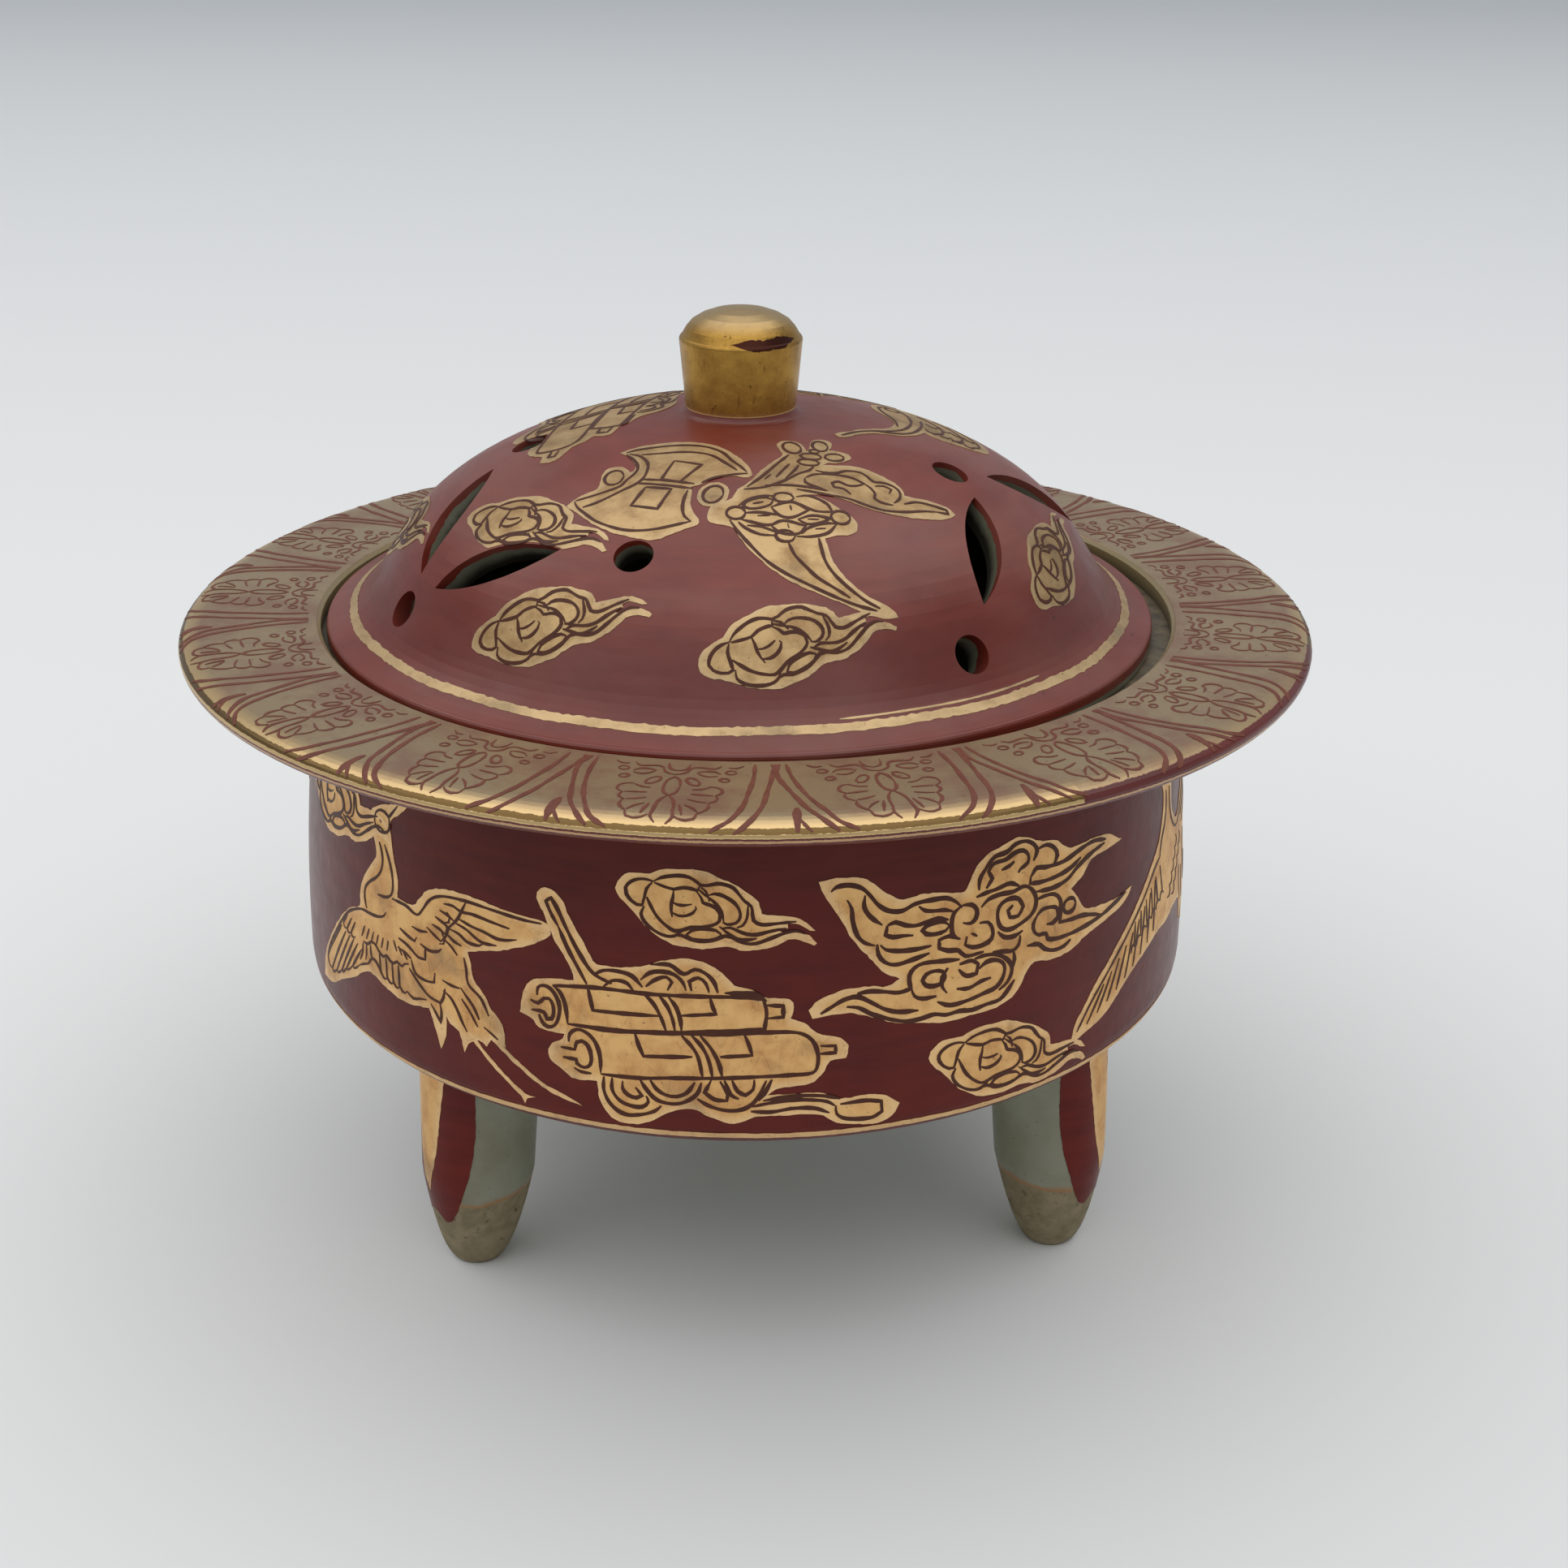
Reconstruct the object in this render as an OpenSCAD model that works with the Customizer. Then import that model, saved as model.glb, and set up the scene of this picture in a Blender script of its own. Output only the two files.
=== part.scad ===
// Tripod incense burner: a flanged drum bowl on three feet, with a pierced domed lid.
// Millimetres, +Z up. The origin is on the table, on the bowl's axis.
// Azimuths are in degrees: 0 is the front (-Y), and they grow towards +X.

/* [Rim] */
// Outer diameter of the flange
rim_d = 116; // [108:1:130]
// Height of the flange's top face above the table
rim_h = 67.2; // [62:0.2:76]
// Thickness of the flange, and so the height of its rolled lip
rim_t = 2.4; // [2:0.1:3]
// How far in from the lip the flange's top begins to fall
lip_fall = 3.2; // [1.5:0.1:5]
// Diameter of the mouth in the flange, which takes the lid
mouth_d = 87.8; // [84:0.2:90]
// How far the flange's root reaches out over the top of the wall
rim_root = 0.5; // [0.4:0.1:1]
// Radius of the hollow between the flange's underside and the wall
rim_fillet = 2; // [1:0.2:3]

/* [Bowl] */
// Largest diameter of the drum, just above its lower corner
belly_d = 94; // [92:0.5:100]
// Radius of the corner between wall and underside
corner_r = 3; // [2:0.2:6]
// Thickness of the wall
wall_t = 3.2; // [2.6:0.1:4]
// Thickness of the floor
floor_t = 3.8; // [3:0.1:6]
// Height of the underside above the table, which is the feet's length
foot_h = 29; // [24:0.2:33]

/* [Lid seat] */
// Width of the ledge that carries the lid
seat_w = 4; // [3:0.1:4.6]
// Depth of the ledge below the flange's top face
seat_drop = 1.9; // [1.4:0.1:2.6]
// Thickness of the ledge
seat_t = 2.4; // [1.8:0.1:3.2]

/* [Lid] */
// Gap all round between the lid's edge and the mouth
edge_gap = 1.3; // [1:0.1:2]
// Distance that the loose lid sits off the bowl's axis, towards -X
lid_shift = 0.7; // [0:0.1:0.7]
// Gap between the lid and its ledge
seat_gap = 0.15; // [0.1:0.05:0.4]
// Thickness of the lid's flat edge
brim_t = 1.7; // [1.4:0.1:2.2]
// Diameter of the dome, were its curve carried down to its centre
dome_d = 73; // [70:0.5:74]
// Height of the dome's curve above its centre
dome_rise = 18.4; // [15:0.2:22]
// Height of the dome's centre above the lid's edge
dome_lift = 2; // [1.6:0.1:3]
// How far round its curve the dome runs before it flares out
dome_sweep = 72; // [68:1:74]
// Radius of the flare between dome and edge
flare_r = 7.5; // [6:0.2:8]
// Slope at which the flare meets the edge
flare_slope = 14; // [10:1:20]
// Thickness of the shell
shell_t = 2.8; // [2.2:0.1:3.4]
// Radial play of the locating ring inside the ledge
ring_gap = 1.4; // [1.2:0.1:2]
// Radial thickness of the locating ring
ring_t = 2.4; // [2:0.1:3]
// Height of the locating ring
ring_h = 3; // [2:0.2:5]

/* [Knob] */
// Diameter of the knob at its base
knob_base_d = 11.2; // [9:0.2:13]
// Diameter of the knob at its rim
knob_d = 12.4; // [10:0.2:15]
// Height of the knob's tapered side
knob_side_h = 7.9; // [6:0.2:10]
// Height of the knob's rounded top
knob_cap_h = 2.7; // [1.6:0.1:3.6]
// Width of the fillet round the knob's base
knob_fillet = 0.8; // [0.5:0.1:1.2]

/* [Piercings] */
// Azimuth of the middle of the first group, with the lid as it lies
pierce_az = -53; // [-180:1:180]
// Length of a lens-shaped slot
slot_l = 14.6; // [11:0.2:16]
// Width of a lens-shaped slot
slot_w = 4; // [3:0.1:5]
// Diameter of a round hole
hole_d = 3.8; // [3:0.1:4.4]

/* [Feet] */
// Distance of each foot's axis in from the side of the drum, at the top of the foot
foot_inset = 12.9; // [11.5:0.1:17]
// Azimuth of the front left foot
foot_az = -56; // [-60:1:-50]
// Distance that the ring of feet was set off the drum's axis, towards +X
foot_shift = 1.2; // [0:0.1:1.5]
// Lean of each foot outwards from the upright
foot_lean = 3.5; // [1:0.5:6]
// Diameter of a foot at the bowl
foot_top_d = 12.8; // [10:0.2:14]
// Diameter of a foot where its nose begins
foot_d = 11.8; // [9:0.2:13]
// Diameter of the flat that a foot stands on
foot_tip_d = 3.8; // [3:0.1:6]
// Height of a foot's rounded nose
foot_nose_h = 11; // [8:0.2:16]

/* [Hidden] */
$fn = 96;

rim_r = rim_d / 2;
mouth_r = mouth_d / 2;
neck_r = mouth_r + rim_root;
belly_r = belly_d / 2;
belly_z = foot_h + corner_r;
foot_pcr = belly_r - foot_inset;
inner_corner = corner_r - 1;
floor_r = belly_r - wall_t - inner_corner;
seat_z = rim_h - seat_drop;
neck_z = seat_z - seat_t;
ledge_r = mouth_r - seat_w;

// The wall is one flat arc from the neck down to the belly.
side_h = neck_z - belly_z;
side_r = (side_h * side_h + pow(belly_r - neck_r, 2)) / (2 * (belly_r - neck_r));
side_angle = asin(side_h / side_r);

lid_r = mouth_r - edge_gap;
lid_z = seat_z + seat_gap;
brim_z = lid_z + brim_t;
dome_z = brim_z + dome_lift;
dome_a = dome_d / 2;
ring_r = ledge_r - ring_gap;
ring_bore_r = ring_r - ring_t;

// Slope of the dome where it ends, and the centre of the flare's arc below it.
shoulder = [dome_a * sin(dome_sweep), dome_z + dome_rise * cos(dome_sweep)];
shoulder_slope = dome_tilt(shoulder.x);
flare_z = brim_z + flare_r * cos(flare_slope);
flare_x = shoulder.x + (flare_r - (flare_z - shoulder.y) * cos(shoulder_slope)) / sin(shoulder_slope);

knob_seat_r = knob_base_d / 2 + knob_fillet;
knob_z = dome_height(knob_seat_r);

// Piercings of one group, as azimuth from the group's middle, distance from the lid's axis and,
// for a slot, its lean from the uphill direction. Two slots and three holes form a bent arm.
arm_up_slots = [[-16, 30.3, 43], [19, 30.1, -37]];
arm_up_holes = [[0, 22.6], [-30, 36.6], [31, 36.6]];
arm_down_slots = [[7, 32, 57], [-16, 30.2, -33]];
arm_down_holes = [[-9, 36.7], [34, 28.7], [-33, 21.4]];

// Height of the dome's outside at distance r from its axis, and its slope there.
function dome_height(r) = dome_z + dome_rise * sqrt(1 - pow(r / dome_a, 2));
function dome_tilt(r) = atan(dome_rise / dome_a * tan(asin(r / dome_a)));

// Height at which a piercing's axis crosses the lid: on the dome, or below it on the straight flare.
function skin_height(r) = r < shoulder.x ? dome_height(r) : shoulder.y - (r - shoulder.x) * tan(shoulder_slope);

// Points on an arc round [x, y] from angle a0 to a1.
function arc_points(x, y, r, a0, a1, n) =
    [for (i = [0:n]) let (a = a0 + (a1 - a0) * i / n) [x + r * cos(a), y + r * sin(a)]];

// Outline of the wall's side at inset t from its outside, from the belly up to the neck.
function side_points(t) =
    [for (i = [0:12]) let (a = side_angle * i / 12)
        [belly_r - side_r + side_r * cos(a) - t, belly_z + side_r * sin(a)]];

// Outline of the dome, from the axis out, as a half ellipse with its top cut flat at radius r0.
function dome_points(a, b, r0, n) =
    let (start = asin(r0 / a))
    [for (i = [0:n]) let (t = start + (dome_sweep - start) * i / n) [a * sin(t), dome_z + b * cos(t)]];

// The drum's side, down to the turn of its lower corner.
module bowl() {
    color("#5c221c")
    rotate_extrude()
    polygon(concat(
        [[floor_r, foot_h]],
        arc_points(belly_r - corner_r, belly_z, corner_r, -90, 0, 8),
        side_points(0),
        [[neck_r - wall_t, neck_z]],
        [for (i = [11:-1:1]) side_points(wall_t)[i]],
        arc_points(floor_r, foot_h + floor_t + inner_corner, inner_corner, 0, -90, 6)));
}

// The flat floor slab, luted into the side where the inner corner begins.
module bowl_floor() {
    color("#6b6955")
    translate([0, 0, foot_h]) cylinder(r = floor_r, h = floor_t);
}

// The lip is a quarter round below, and a long quarter ellipse above, down which the flange's top
// falls. Its widest circle is halfway up the flange's thickness.
module rim_flange() {
    lip_r = rim_t / 2;
    under_z = rim_h - rim_t;
    color("#8a6a44")
    rotate_extrude()
    polygon(concat(
        [[mouth_r, neck_z], [neck_r, neck_z]],
        arc_points(neck_r + rim_fillet, under_z - rim_fillet, rim_fillet, 180, 90, 6),
        arc_points(rim_r - lip_r, rim_h - lip_r, lip_r, -90, 0, 6),
        [for (i = [1:8]) let (a = 90 * i / 8)
            [rim_r - lip_fall + lip_fall * cos(a), rim_h - lip_r + lip_r * sin(a)]],
        [[mouth_r + 0.4, rim_h], [mouth_r, rim_h - 0.4]]));
}

module lid_seat() {
    color("#7d7a63")
    translate([0, 0, neck_z])
    difference() {
        cylinder(r = mouth_r, h = seat_t);
        translate([0, 0, -1]) cylinder(r = ledge_r, h = seat_t + 2);
    }
}

// The nose is a paraboloid that ends in a small flat. The foot leans about the middle of its top,
// and is cut level where it is luted to the bowl and where it stands.
module foot(az) {
    tip_r = foot_tip_d / 2;
    worn = 0.1;
    length = (foot_h + tip_r * sin(foot_lean) + worn) / cos(foot_lean);
    root = foot_top_d * tan(foot_lean);
    color("#8f8f7c")
    translate([foot_shift, 0, 0])
    rotate(az)
    translate([0, -foot_pcr, 0])
    intersection() {
        translate([0, 0, foot_h])
        rotate([-foot_lean, 0, 0])
        translate([0, 0, -length])
        rotate_extrude()
        polygon(concat(
            [[0, 0]],
            [for (i = [0:10]) let (s = i / 10) [tip_r + (foot_d / 2 - tip_r) * s, foot_nose_h * s * s]],
            [[foot_top_d / 2, length], [foot_top_d / 2, length + root], [0, length + root]]));
        cylinder(r = foot_top_d, h = foot_h);
    }
}

module lid_dome() {
    edge_round = 0.5;
    color("#8c3a30")
    translate([-lid_shift, 0, 0])
    difference() {
        rotate_extrude()
        polygon(concat(
            [[0, knob_z]],
            dome_points(dome_a, dome_rise, knob_seat_r, 18),
            arc_points(flare_x, flare_z, flare_r, 270 - shoulder_slope, 270 - flare_slope, 6),
            arc_points(lid_r - edge_round, brim_z - edge_round, edge_round, 75, 0, 3),
            [[lid_r, lid_z], [ring_bore_r, lid_z]],
            [for (i = [16:-1:1]) dome_points(dome_a - shell_t, dome_rise - shell_t, 0, 16)[i]],
            [[0, dome_z + dome_rise - shell_t]]));
        piercings(pierce_az, arm_down_slots, arm_down_holes);
        for (turn = [120, 240]) piercings(pierce_az + turn, arm_up_slots, arm_up_holes);
    }
}

// One group of cutters. Each cutter stands square to the dome's surface.
module piercings(az, slots, holes) {
    depth = 3 * shell_t;
    for (s = slots)
        square_to_skin(az + s[0], s[1])
        rotate(-s[2])
        linear_extrude(depth, center = true)
        lens(slot_l, slot_w);
    for (h = holes)
        square_to_skin(az + h[0], h[1])
        cylinder(d = hole_d, h = depth, center = true);
}

// Moves its children to a point of the dome, with their Z along the skin's normal and their Y uphill.
module square_to_skin(az, r) {
    rotate(az)
    translate([0, -r, skin_height(r)])
    rotate([dome_tilt(min(r, shoulder.x)), 0, 0])
    children();
}

// A pointed oval along Y: the overlap of two circles.
module lens(l, w) {
    r = (l * l + w * w) / (4 * w);
    intersection() {
        translate([w / 2 - r, 0]) circle(r);
        translate([r - w / 2, 0]) circle(r);
    }
}

module lid_ring() {
    color("#7d7a63")
    translate([-lid_shift, 0, lid_z - ring_h])
    difference() {
        cylinder(r = ring_r, h = ring_h);
        translate([0, 0, -1]) cylinder(r = ring_bore_r, h = ring_h + 2);
    }
}

module knob() {
    base_r = knob_base_d / 2;
    cap_z = knob_z + knob_side_h;
    rim_round = 0.5;
    color("#a8853f")
    translate([-lid_shift, 0, 0])
    rotate_extrude()
    polygon(concat(
        [[0, knob_z]],
        arc_points(base_r + knob_fillet, knob_z + knob_fillet, knob_fillet, 270, 180, 5),
        arc_points(knob_d / 2 - rim_round, cap_z - rim_round, rim_round, 0, 60, 3),
        [for (t = [75:-15:0]) [(knob_d / 2 - rim_round) * sin(t), cap_z + knob_cap_h * cos(t)]]));
}

bowl();
bowl_floor();
rim_flange();
lid_seat();
foot(foot_az);  // front_left_foot
foot(foot_az + 120);  // front_right_foot
foot(foot_az + 240);  // rear_foot
lid_dome();
lid_ring();
knob();
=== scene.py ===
"""A round tripod incense burner in glazed and gilded stoneware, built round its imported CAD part.

Metres, +Z up, the front towards -Y. Drawn ornament is in millimetres on the surface it is painted on.
"""

import math
import random

import bpy
import numpy as np
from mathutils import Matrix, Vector
from mathutils.geometry import delaunay_2d_cdt


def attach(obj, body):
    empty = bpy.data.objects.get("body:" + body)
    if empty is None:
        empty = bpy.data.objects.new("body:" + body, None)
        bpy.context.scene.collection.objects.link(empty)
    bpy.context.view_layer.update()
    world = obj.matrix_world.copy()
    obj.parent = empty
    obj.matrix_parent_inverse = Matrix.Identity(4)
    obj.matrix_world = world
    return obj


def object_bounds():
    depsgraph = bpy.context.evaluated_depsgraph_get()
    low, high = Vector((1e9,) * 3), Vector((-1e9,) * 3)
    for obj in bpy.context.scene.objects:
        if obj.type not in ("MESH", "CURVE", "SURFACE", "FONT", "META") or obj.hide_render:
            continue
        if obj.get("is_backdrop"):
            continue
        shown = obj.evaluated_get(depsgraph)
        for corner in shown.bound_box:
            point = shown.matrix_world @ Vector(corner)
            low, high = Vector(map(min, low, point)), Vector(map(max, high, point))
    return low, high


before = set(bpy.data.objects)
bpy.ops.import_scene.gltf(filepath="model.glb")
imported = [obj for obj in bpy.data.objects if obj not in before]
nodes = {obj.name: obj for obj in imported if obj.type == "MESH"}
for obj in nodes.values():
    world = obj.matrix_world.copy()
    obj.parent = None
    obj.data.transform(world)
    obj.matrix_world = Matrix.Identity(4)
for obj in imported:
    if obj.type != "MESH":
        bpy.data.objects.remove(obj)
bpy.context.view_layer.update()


# The drum's side and floor. It is wheel-thrown stoneware, grey-green celadon inside and below, with an
# iron-red overglaze enamel brushed on round the outside and fired on, so it is a little streaky.
WALL_FOOT_R = 43.4  # the enamel ends here on the underside, mm from the axis
WALL_INSIDE_R = 44.1  # halfway through the wall
WALL_CORNER_Z = 32.0
INSIDE_FROM_Z = 32.5
FLOOR_Z = 32.8
ASH_TOP_Z = 52.0
SHARP_FROM = 40  # corners of more than this many degrees stay sharp
# These are darker than the lid's enamel colours: partly the drum's own tone, partly painted shade on its
# upright side.
ENAMEL_DEEP = "#541711"
ENAMEL_WARM = "#611c14"
CELADON_GREY = "#8b8b78"
CELADON_OLIVE = "#7a7862"
IRON_SPECK = "#5c573f"
SMOKE_BROWN = "#4a4236"
SOFT_SHEEN = {"IOR": 1.5, "Specular IOR Level": 0.2}


def linear(hex_colour):
    """An sRGB hex colour as the linear one that shaders take."""
    channels = [int(hex_colour[i:i + 2], 16) / 255 for i in (1, 3, 5)]
    return [c / 12.92 if c <= 0.04045 else ((c + 0.055) / 1.055) ** 2.4 for c in channels] + [1.0]


def add(tree, kind, sockets=None, **settings):
    """Adds one shader node with its settings, and sets or links its sockets. Another node given for a
    socket stands for that node's result, and a hex string for its colour. A Mix node mixes colours."""
    made = tree.nodes.new("ShaderNode" + kind)
    if kind == "Mix":
        made.data_type = "RGBA"
    for name, value in settings.items():
        setattr(made, name, value)
    for name, value in (sockets or {}).items():
        if isinstance(value, bpy.types.Node):
            value = value.outputs[2 if value.bl_idname == "ShaderNodeMix" else 0]
        if isinstance(value, bpy.types.NodeSocket):
            tree.links.new(value, made.inputs[name])
        else:
            made.inputs[name].default_value = linear(value) if isinstance(value, str) else value
    return made


def start_finish(name):
    """A new material, its node tree, and the place on the object in millimetres."""
    material = bpy.data.materials.new(name)
    material.use_nodes = True
    tree = material.node_tree
    tree.nodes.clear()
    place = add(tree, "TexCoord").outputs["Object"]
    mm = add(tree, "VectorMath", {0: place, "Scale": 1000.0}, operation="SCALE")
    return material, tree, mm


def about_axis(tree, mm):
    """Each place by its distance from the axis, its angle round from the front, and its height."""
    flat = add(tree, "VectorMath", {0: mm, 1: (1.0, 1.0, 0.0)}, operation="MULTIPLY")
    radius = add(tree, "VectorMath", {0: flat}, operation="LENGTH").outputs["Value"]
    split = add(tree, "SeparateXYZ", {0: mm}).outputs
    front = add(tree, "Math", {0: split["Y"], 1: -1.0}, operation="MULTIPLY")
    azimuth = add(tree, "Math", {0: split["X"], 1: front}, operation="ARCTAN2")
    return radius, azimuth, split["Z"]


def end_finish(tree, colour, gloss, height, depth_mm, **fixed):
    """Closes a material with its shader and a fine relief. Gloss is a pattern with the roughness at its
    lowest and at its highest."""
    pattern, low, high = gloss
    rough = add(tree, "MapRange", {0: pattern, "To Min": low, "To Max": high})
    relief = add(tree, "Bump", {"Height": height, "Distance": depth_mm * 0.001, "Strength": 1.0})
    shader = add(tree, "BsdfPrincipled", {"Base Color": colour, "Roughness": rough, "Normal": relief,
                                          **fixed})
    add(tree, "OutputMaterial", {"Surface": shader})


def mottled(tree, mm, one, other, scale, detail, low, high, roughness=0.5):
    """A slow change between two tones where a noise runs from low to high, and that noise."""
    noise = add(tree, "TexNoise", {"Vector": mm, "Scale": scale, "Detail": detail, "Roughness": roughness})
    share = add(tree, "MapRange", {0: noise, "From Min": low, "From Max": high})
    return add(tree, "Mix", {0: share, 6: one, 7: other}), noise


def flecked(tree, mm, ground, fleck, scale, detail, low, high, most, roughness=0.5):
    """Flecks of another colour on a ground where a noise passes from low to high, and that noise."""
    noise = add(tree, "TexNoise", {"Vector": mm, "Scale": scale, "Detail": detail, "Roughness": roughness})
    share = add(tree, "MapRange", {0: noise, "From Min": low, "From Max": high, "To Max": most})
    return add(tree, "Mix", {0: share, 6: ground, 7: fleck}), noise


def brushed_enamel(tree, mm, deep, warm):
    """Colour of brushed red enamel: broad cloudiness, streaks along the brush, and a few dark pinholes."""
    cloudy = add(tree, "TexNoise", {"Vector": mm, "Scale": 0.11, "Detail": 4.0, "Roughness": 0.6})
    along = add(tree, "VectorMath", {0: mm, 1: (0.12, 0.12, 0.9)}, operation="MULTIPLY")
    streaky = add(tree, "TexNoise", {"Vector": along, "Scale": 1.0, "Detail": 3.0})
    both = add(tree, "Math", {0: cloudy, 1: streaky}, operation="ADD")
    share = add(tree, "MapRange", {0: both, "From Min": 0.78, "From Max": 1.22})
    tone = add(tree, "Mix", {0: share, 6: deep, 7: warm})
    pits = add(tree, "TexVoronoi", {"Vector": mm, "Scale": 0.17, "Randomness": 1.0})
    pinhole = add(tree, "MapRange", {0: pits.outputs["Distance"], "From Min": 0.030, "From Max": 0.036,
                                     "To Min": 1.0, "To Max": 0.0})
    return add(tree, "Mix", {0: pinhole, 6: tone, 7: "#22100c"})


def grey_celadon(tree, mm):
    """Colour of the grey-green glaze: slow change of tone with faint olive specks of iron."""
    tone, _ = mottled(tree, mm, CELADON_GREY, CELADON_OLIVE, 0.16, 3.0, 0.35, 0.65)
    return flecked(tree, mm, tone, IRON_SPECK, 2.2, 2.0, 0.66, 0.72, 0.45)[0]


def smooth(obj):
    """Shades a turned piece smoothly, and keeps its true corners sharp."""
    for face in obj.data.polygons:
        face.use_smooth = True
    obj.data.set_sharp_from_angle(angle=math.radians(SHARP_FROM))


def coat(material, *names):
    """Gives thrown or luted pieces their fired finish."""
    for name in names:
        nodes[name].data.materials.clear()
        nodes[name].data.materials.append(material)
        smooth(nodes[name])


material, tree, mm = start_finish("iron_red_enamel_over_celadon")
radius, _, height = about_axis(tree, mm)
ragged = add(tree, "TexNoise", {"Vector": mm, "Scale": 0.5, "Detail": 3.0})
wander = add(tree, "MapRange", {0: ragged, "To Min": -0.6, "To Max": 0.6})
outer = add(tree, "Math", {0: radius, 1: WALL_INSIDE_R}, operation="GREATER_THAN")
reach = add(tree, "Math", {0: radius, 1: wander}, operation="ADD")
turned = add(tree, "Math", {0: reach, 1: WALL_FOOT_R}, operation="GREATER_THAN")
low = add(tree, "Math", {0: height, 1: WALL_CORNER_Z}, operation="LESS_THAN")
corner = add(tree, "Math", {0: turned, 1: low}, operation="MULTIPLY")
enamelled = add(tree, "Math", {0: outer, 1: corner}, operation="MAXIMUM")
inside = grey_celadon(tree, mm)
ash = add(tree, "MapRange", {0: height, "From Min": FLOOR_Z, "From Max": ASH_TOP_Z, "To Min": 0.75,
                             "To Max": 0.0})
indoors = add(tree, "Math", {0: height, 1: INSIDE_FROM_Z}, operation="GREATER_THAN")
stain = add(tree, "Math", {0: ash, 1: indoors}, operation="MULTIPLY")
smoked = add(tree, "Mix", {0: stain, 6: inside, 7: SMOKE_BROWN})
colour = add(tree, "Mix", {0: enamelled, 6: smoked, 7: brushed_enamel(tree, mm, ENAMEL_DEEP, ENAMEL_WARM)})
ripple = add(tree, "TexNoise", {"Vector": mm, "Scale": 0.5, "Detail": 2.0})
end_finish(tree, colour, (ripple, 0.24, 0.38), ripple, 0.05, **SOFT_SHEEN)
coat(material, "bowl", "bowl_floor")


# Gilding on the drum: cranes, clouds and a bundle of tied scrolls. Gold paste is laid as thin films over
# the fired enamel, and the drawing on it is brushed in iron brown. The gold is matt, and paler where its
# edge is rubbed.
WALL_U_R = 46.5  # one millimetre of drawing is measured round the drum at this radius
WALL_BELLY_R = 47.0
WALL_NECK_R = 44.4
WALL_NECK_Z = 62.9
WALL_CORNER_R = 3.0
GOLD_FILM = 0.05  # how proud the gold lies, mm
OVER_FILM = 0.062  # the same where one drawing is laid across another
BRUSH_RISE = 0.035  # how far a brush line stands on its ground
FILM_ROOT = 0.06  # how far a film reaches into the glaze
BRUSH_ROOT = 0.02
HAND_SHAKE = 0.05
BRUSH_STEP = 0.42
OUTLINE_STEP = 0.45
BRUSH_FADE = 0.9  # a line thins over this length at both ends
CORNER_TURN = 1.15  # a line that turns by more than this, in radians, has a corner there
GOLD_BODY = "#e6b878"
GOLD_RUBBED = "#f2d4a6"
GOLD_UNDER = "#cf9a60"
BRUSH_BROWN = "#3e1d14"


def on_wall(points, lift):
    """Puts drawn points on the drum's side: u round it, v up from the table."""
    u, v = points[:, 0], points[:, 1]
    side = ((WALL_NECK_Z - WALL_CORNER_Z) ** 2 + (WALL_BELLY_R - WALL_NECK_R) ** 2) / 2 / (
        WALL_BELLY_R - WALL_NECK_R)
    above = WALL_BELLY_R - side + np.sqrt(side ** 2 - (v - WALL_CORNER_Z) ** 2)
    drop = np.clip(WALL_CORNER_Z - v, 0, WALL_CORNER_R)
    below = WALL_BELLY_R - WALL_CORNER_R + np.sqrt(WALL_CORNER_R ** 2 - drop ** 2)
    r = np.where(v > WALL_CORNER_Z, above, below) + lift
    turn = u / WALL_U_R
    return np.stack([r * np.sin(turn), -r * np.cos(turn), v], 1) * 0.001


def flowing(points, step=0.4, closed=False):
    """A smooth line through given points, with its sharp corners kept."""
    knots = [Vector(p) for p in points]
    count = len(knots)

    def knot(i):
        return knots[i % count] if closed else knots[max(0, min(count - 1, i))]

    sharp = []
    for i in range(count):
        before, after = knots[i] - knot(i - 1), knot(i + 1) - knots[i]
        sharp.append(before.length > 0 and after.length > 0 and before.angle(after) > CORNER_TURN)
    line = []
    for i in range(count if closed else count - 1):
        start, end = knots[i], knot(i + 1)
        length = (end - start).length
        if length < 1e-6:
            continue
        pull_a = end - (start if sharp[i] else knot(i - 1))
        pull_b = (end if sharp[(i + 1) % count] else knot(i + 2)) - start
        pull_a = pull_a.normalized() * length
        pull_b = pull_b.normalized() * length
        cuts = max(1, round(length / step))
        for k in range(cuts):
            t = k / cuts
            line.append((2 * t ** 3 - 3 * t ** 2 + 1) * start + (t ** 3 - 2 * t ** 2 + t) * pull_a
                        + (3 * t ** 2 - 2 * t ** 3) * end + (t ** 3 - t ** 2) * pull_b)
    if not closed:
        line.append(knots[-1])
    return np.array([tuple(p) for p in line])


def oval(u, v, half_w, half_h, tilt=0):
    """A closed drawn ring."""
    c, s = math.cos(math.radians(tilt)), math.sin(math.radians(tilt))
    ring = [(half_w * math.cos(a), half_h * math.sin(a)) for a in [k * math.pi / 4 for k in range(9)]]
    return [(u + x * c - y * s, v + x * s + y * c) for x, y in ring]


def between(a, b, t):
    """The point a share t of the way from a to b."""
    return (a[0] + (b[0] - a[0]) * t, a[1] + (b[1] - a[1]) * t)


def quills(roots, tips, count):
    """Lines of a feather fan, from a row of roots to a row of tips."""
    return [[between(*roots, k / (count - 1)), between(*tips, k / (count - 1))] for k in range(count)]


def plumes(roots, tips):
    """Long feathers side by side. Each is a side line that turns round the feather's end on to the next."""
    rows = []
    for k in range(len(tips) - 1):
        base, end = between(roots[k], roots[k + 1], 0.5), between(tips[k], tips[k + 1], 0.5)
        out = between(base, end, 1 + 0.45 * math.dist(tips[k], tips[k + 1]) / math.dist(base, end))
        one, two = between(tips[k], out, 0.7), between(tips[k + 1], out, 0.7)
        rows.append([roots[k], between(roots[k], tips[k], 0.5), tips[k], one, two, tips[k + 1]])
    return rows


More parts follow.
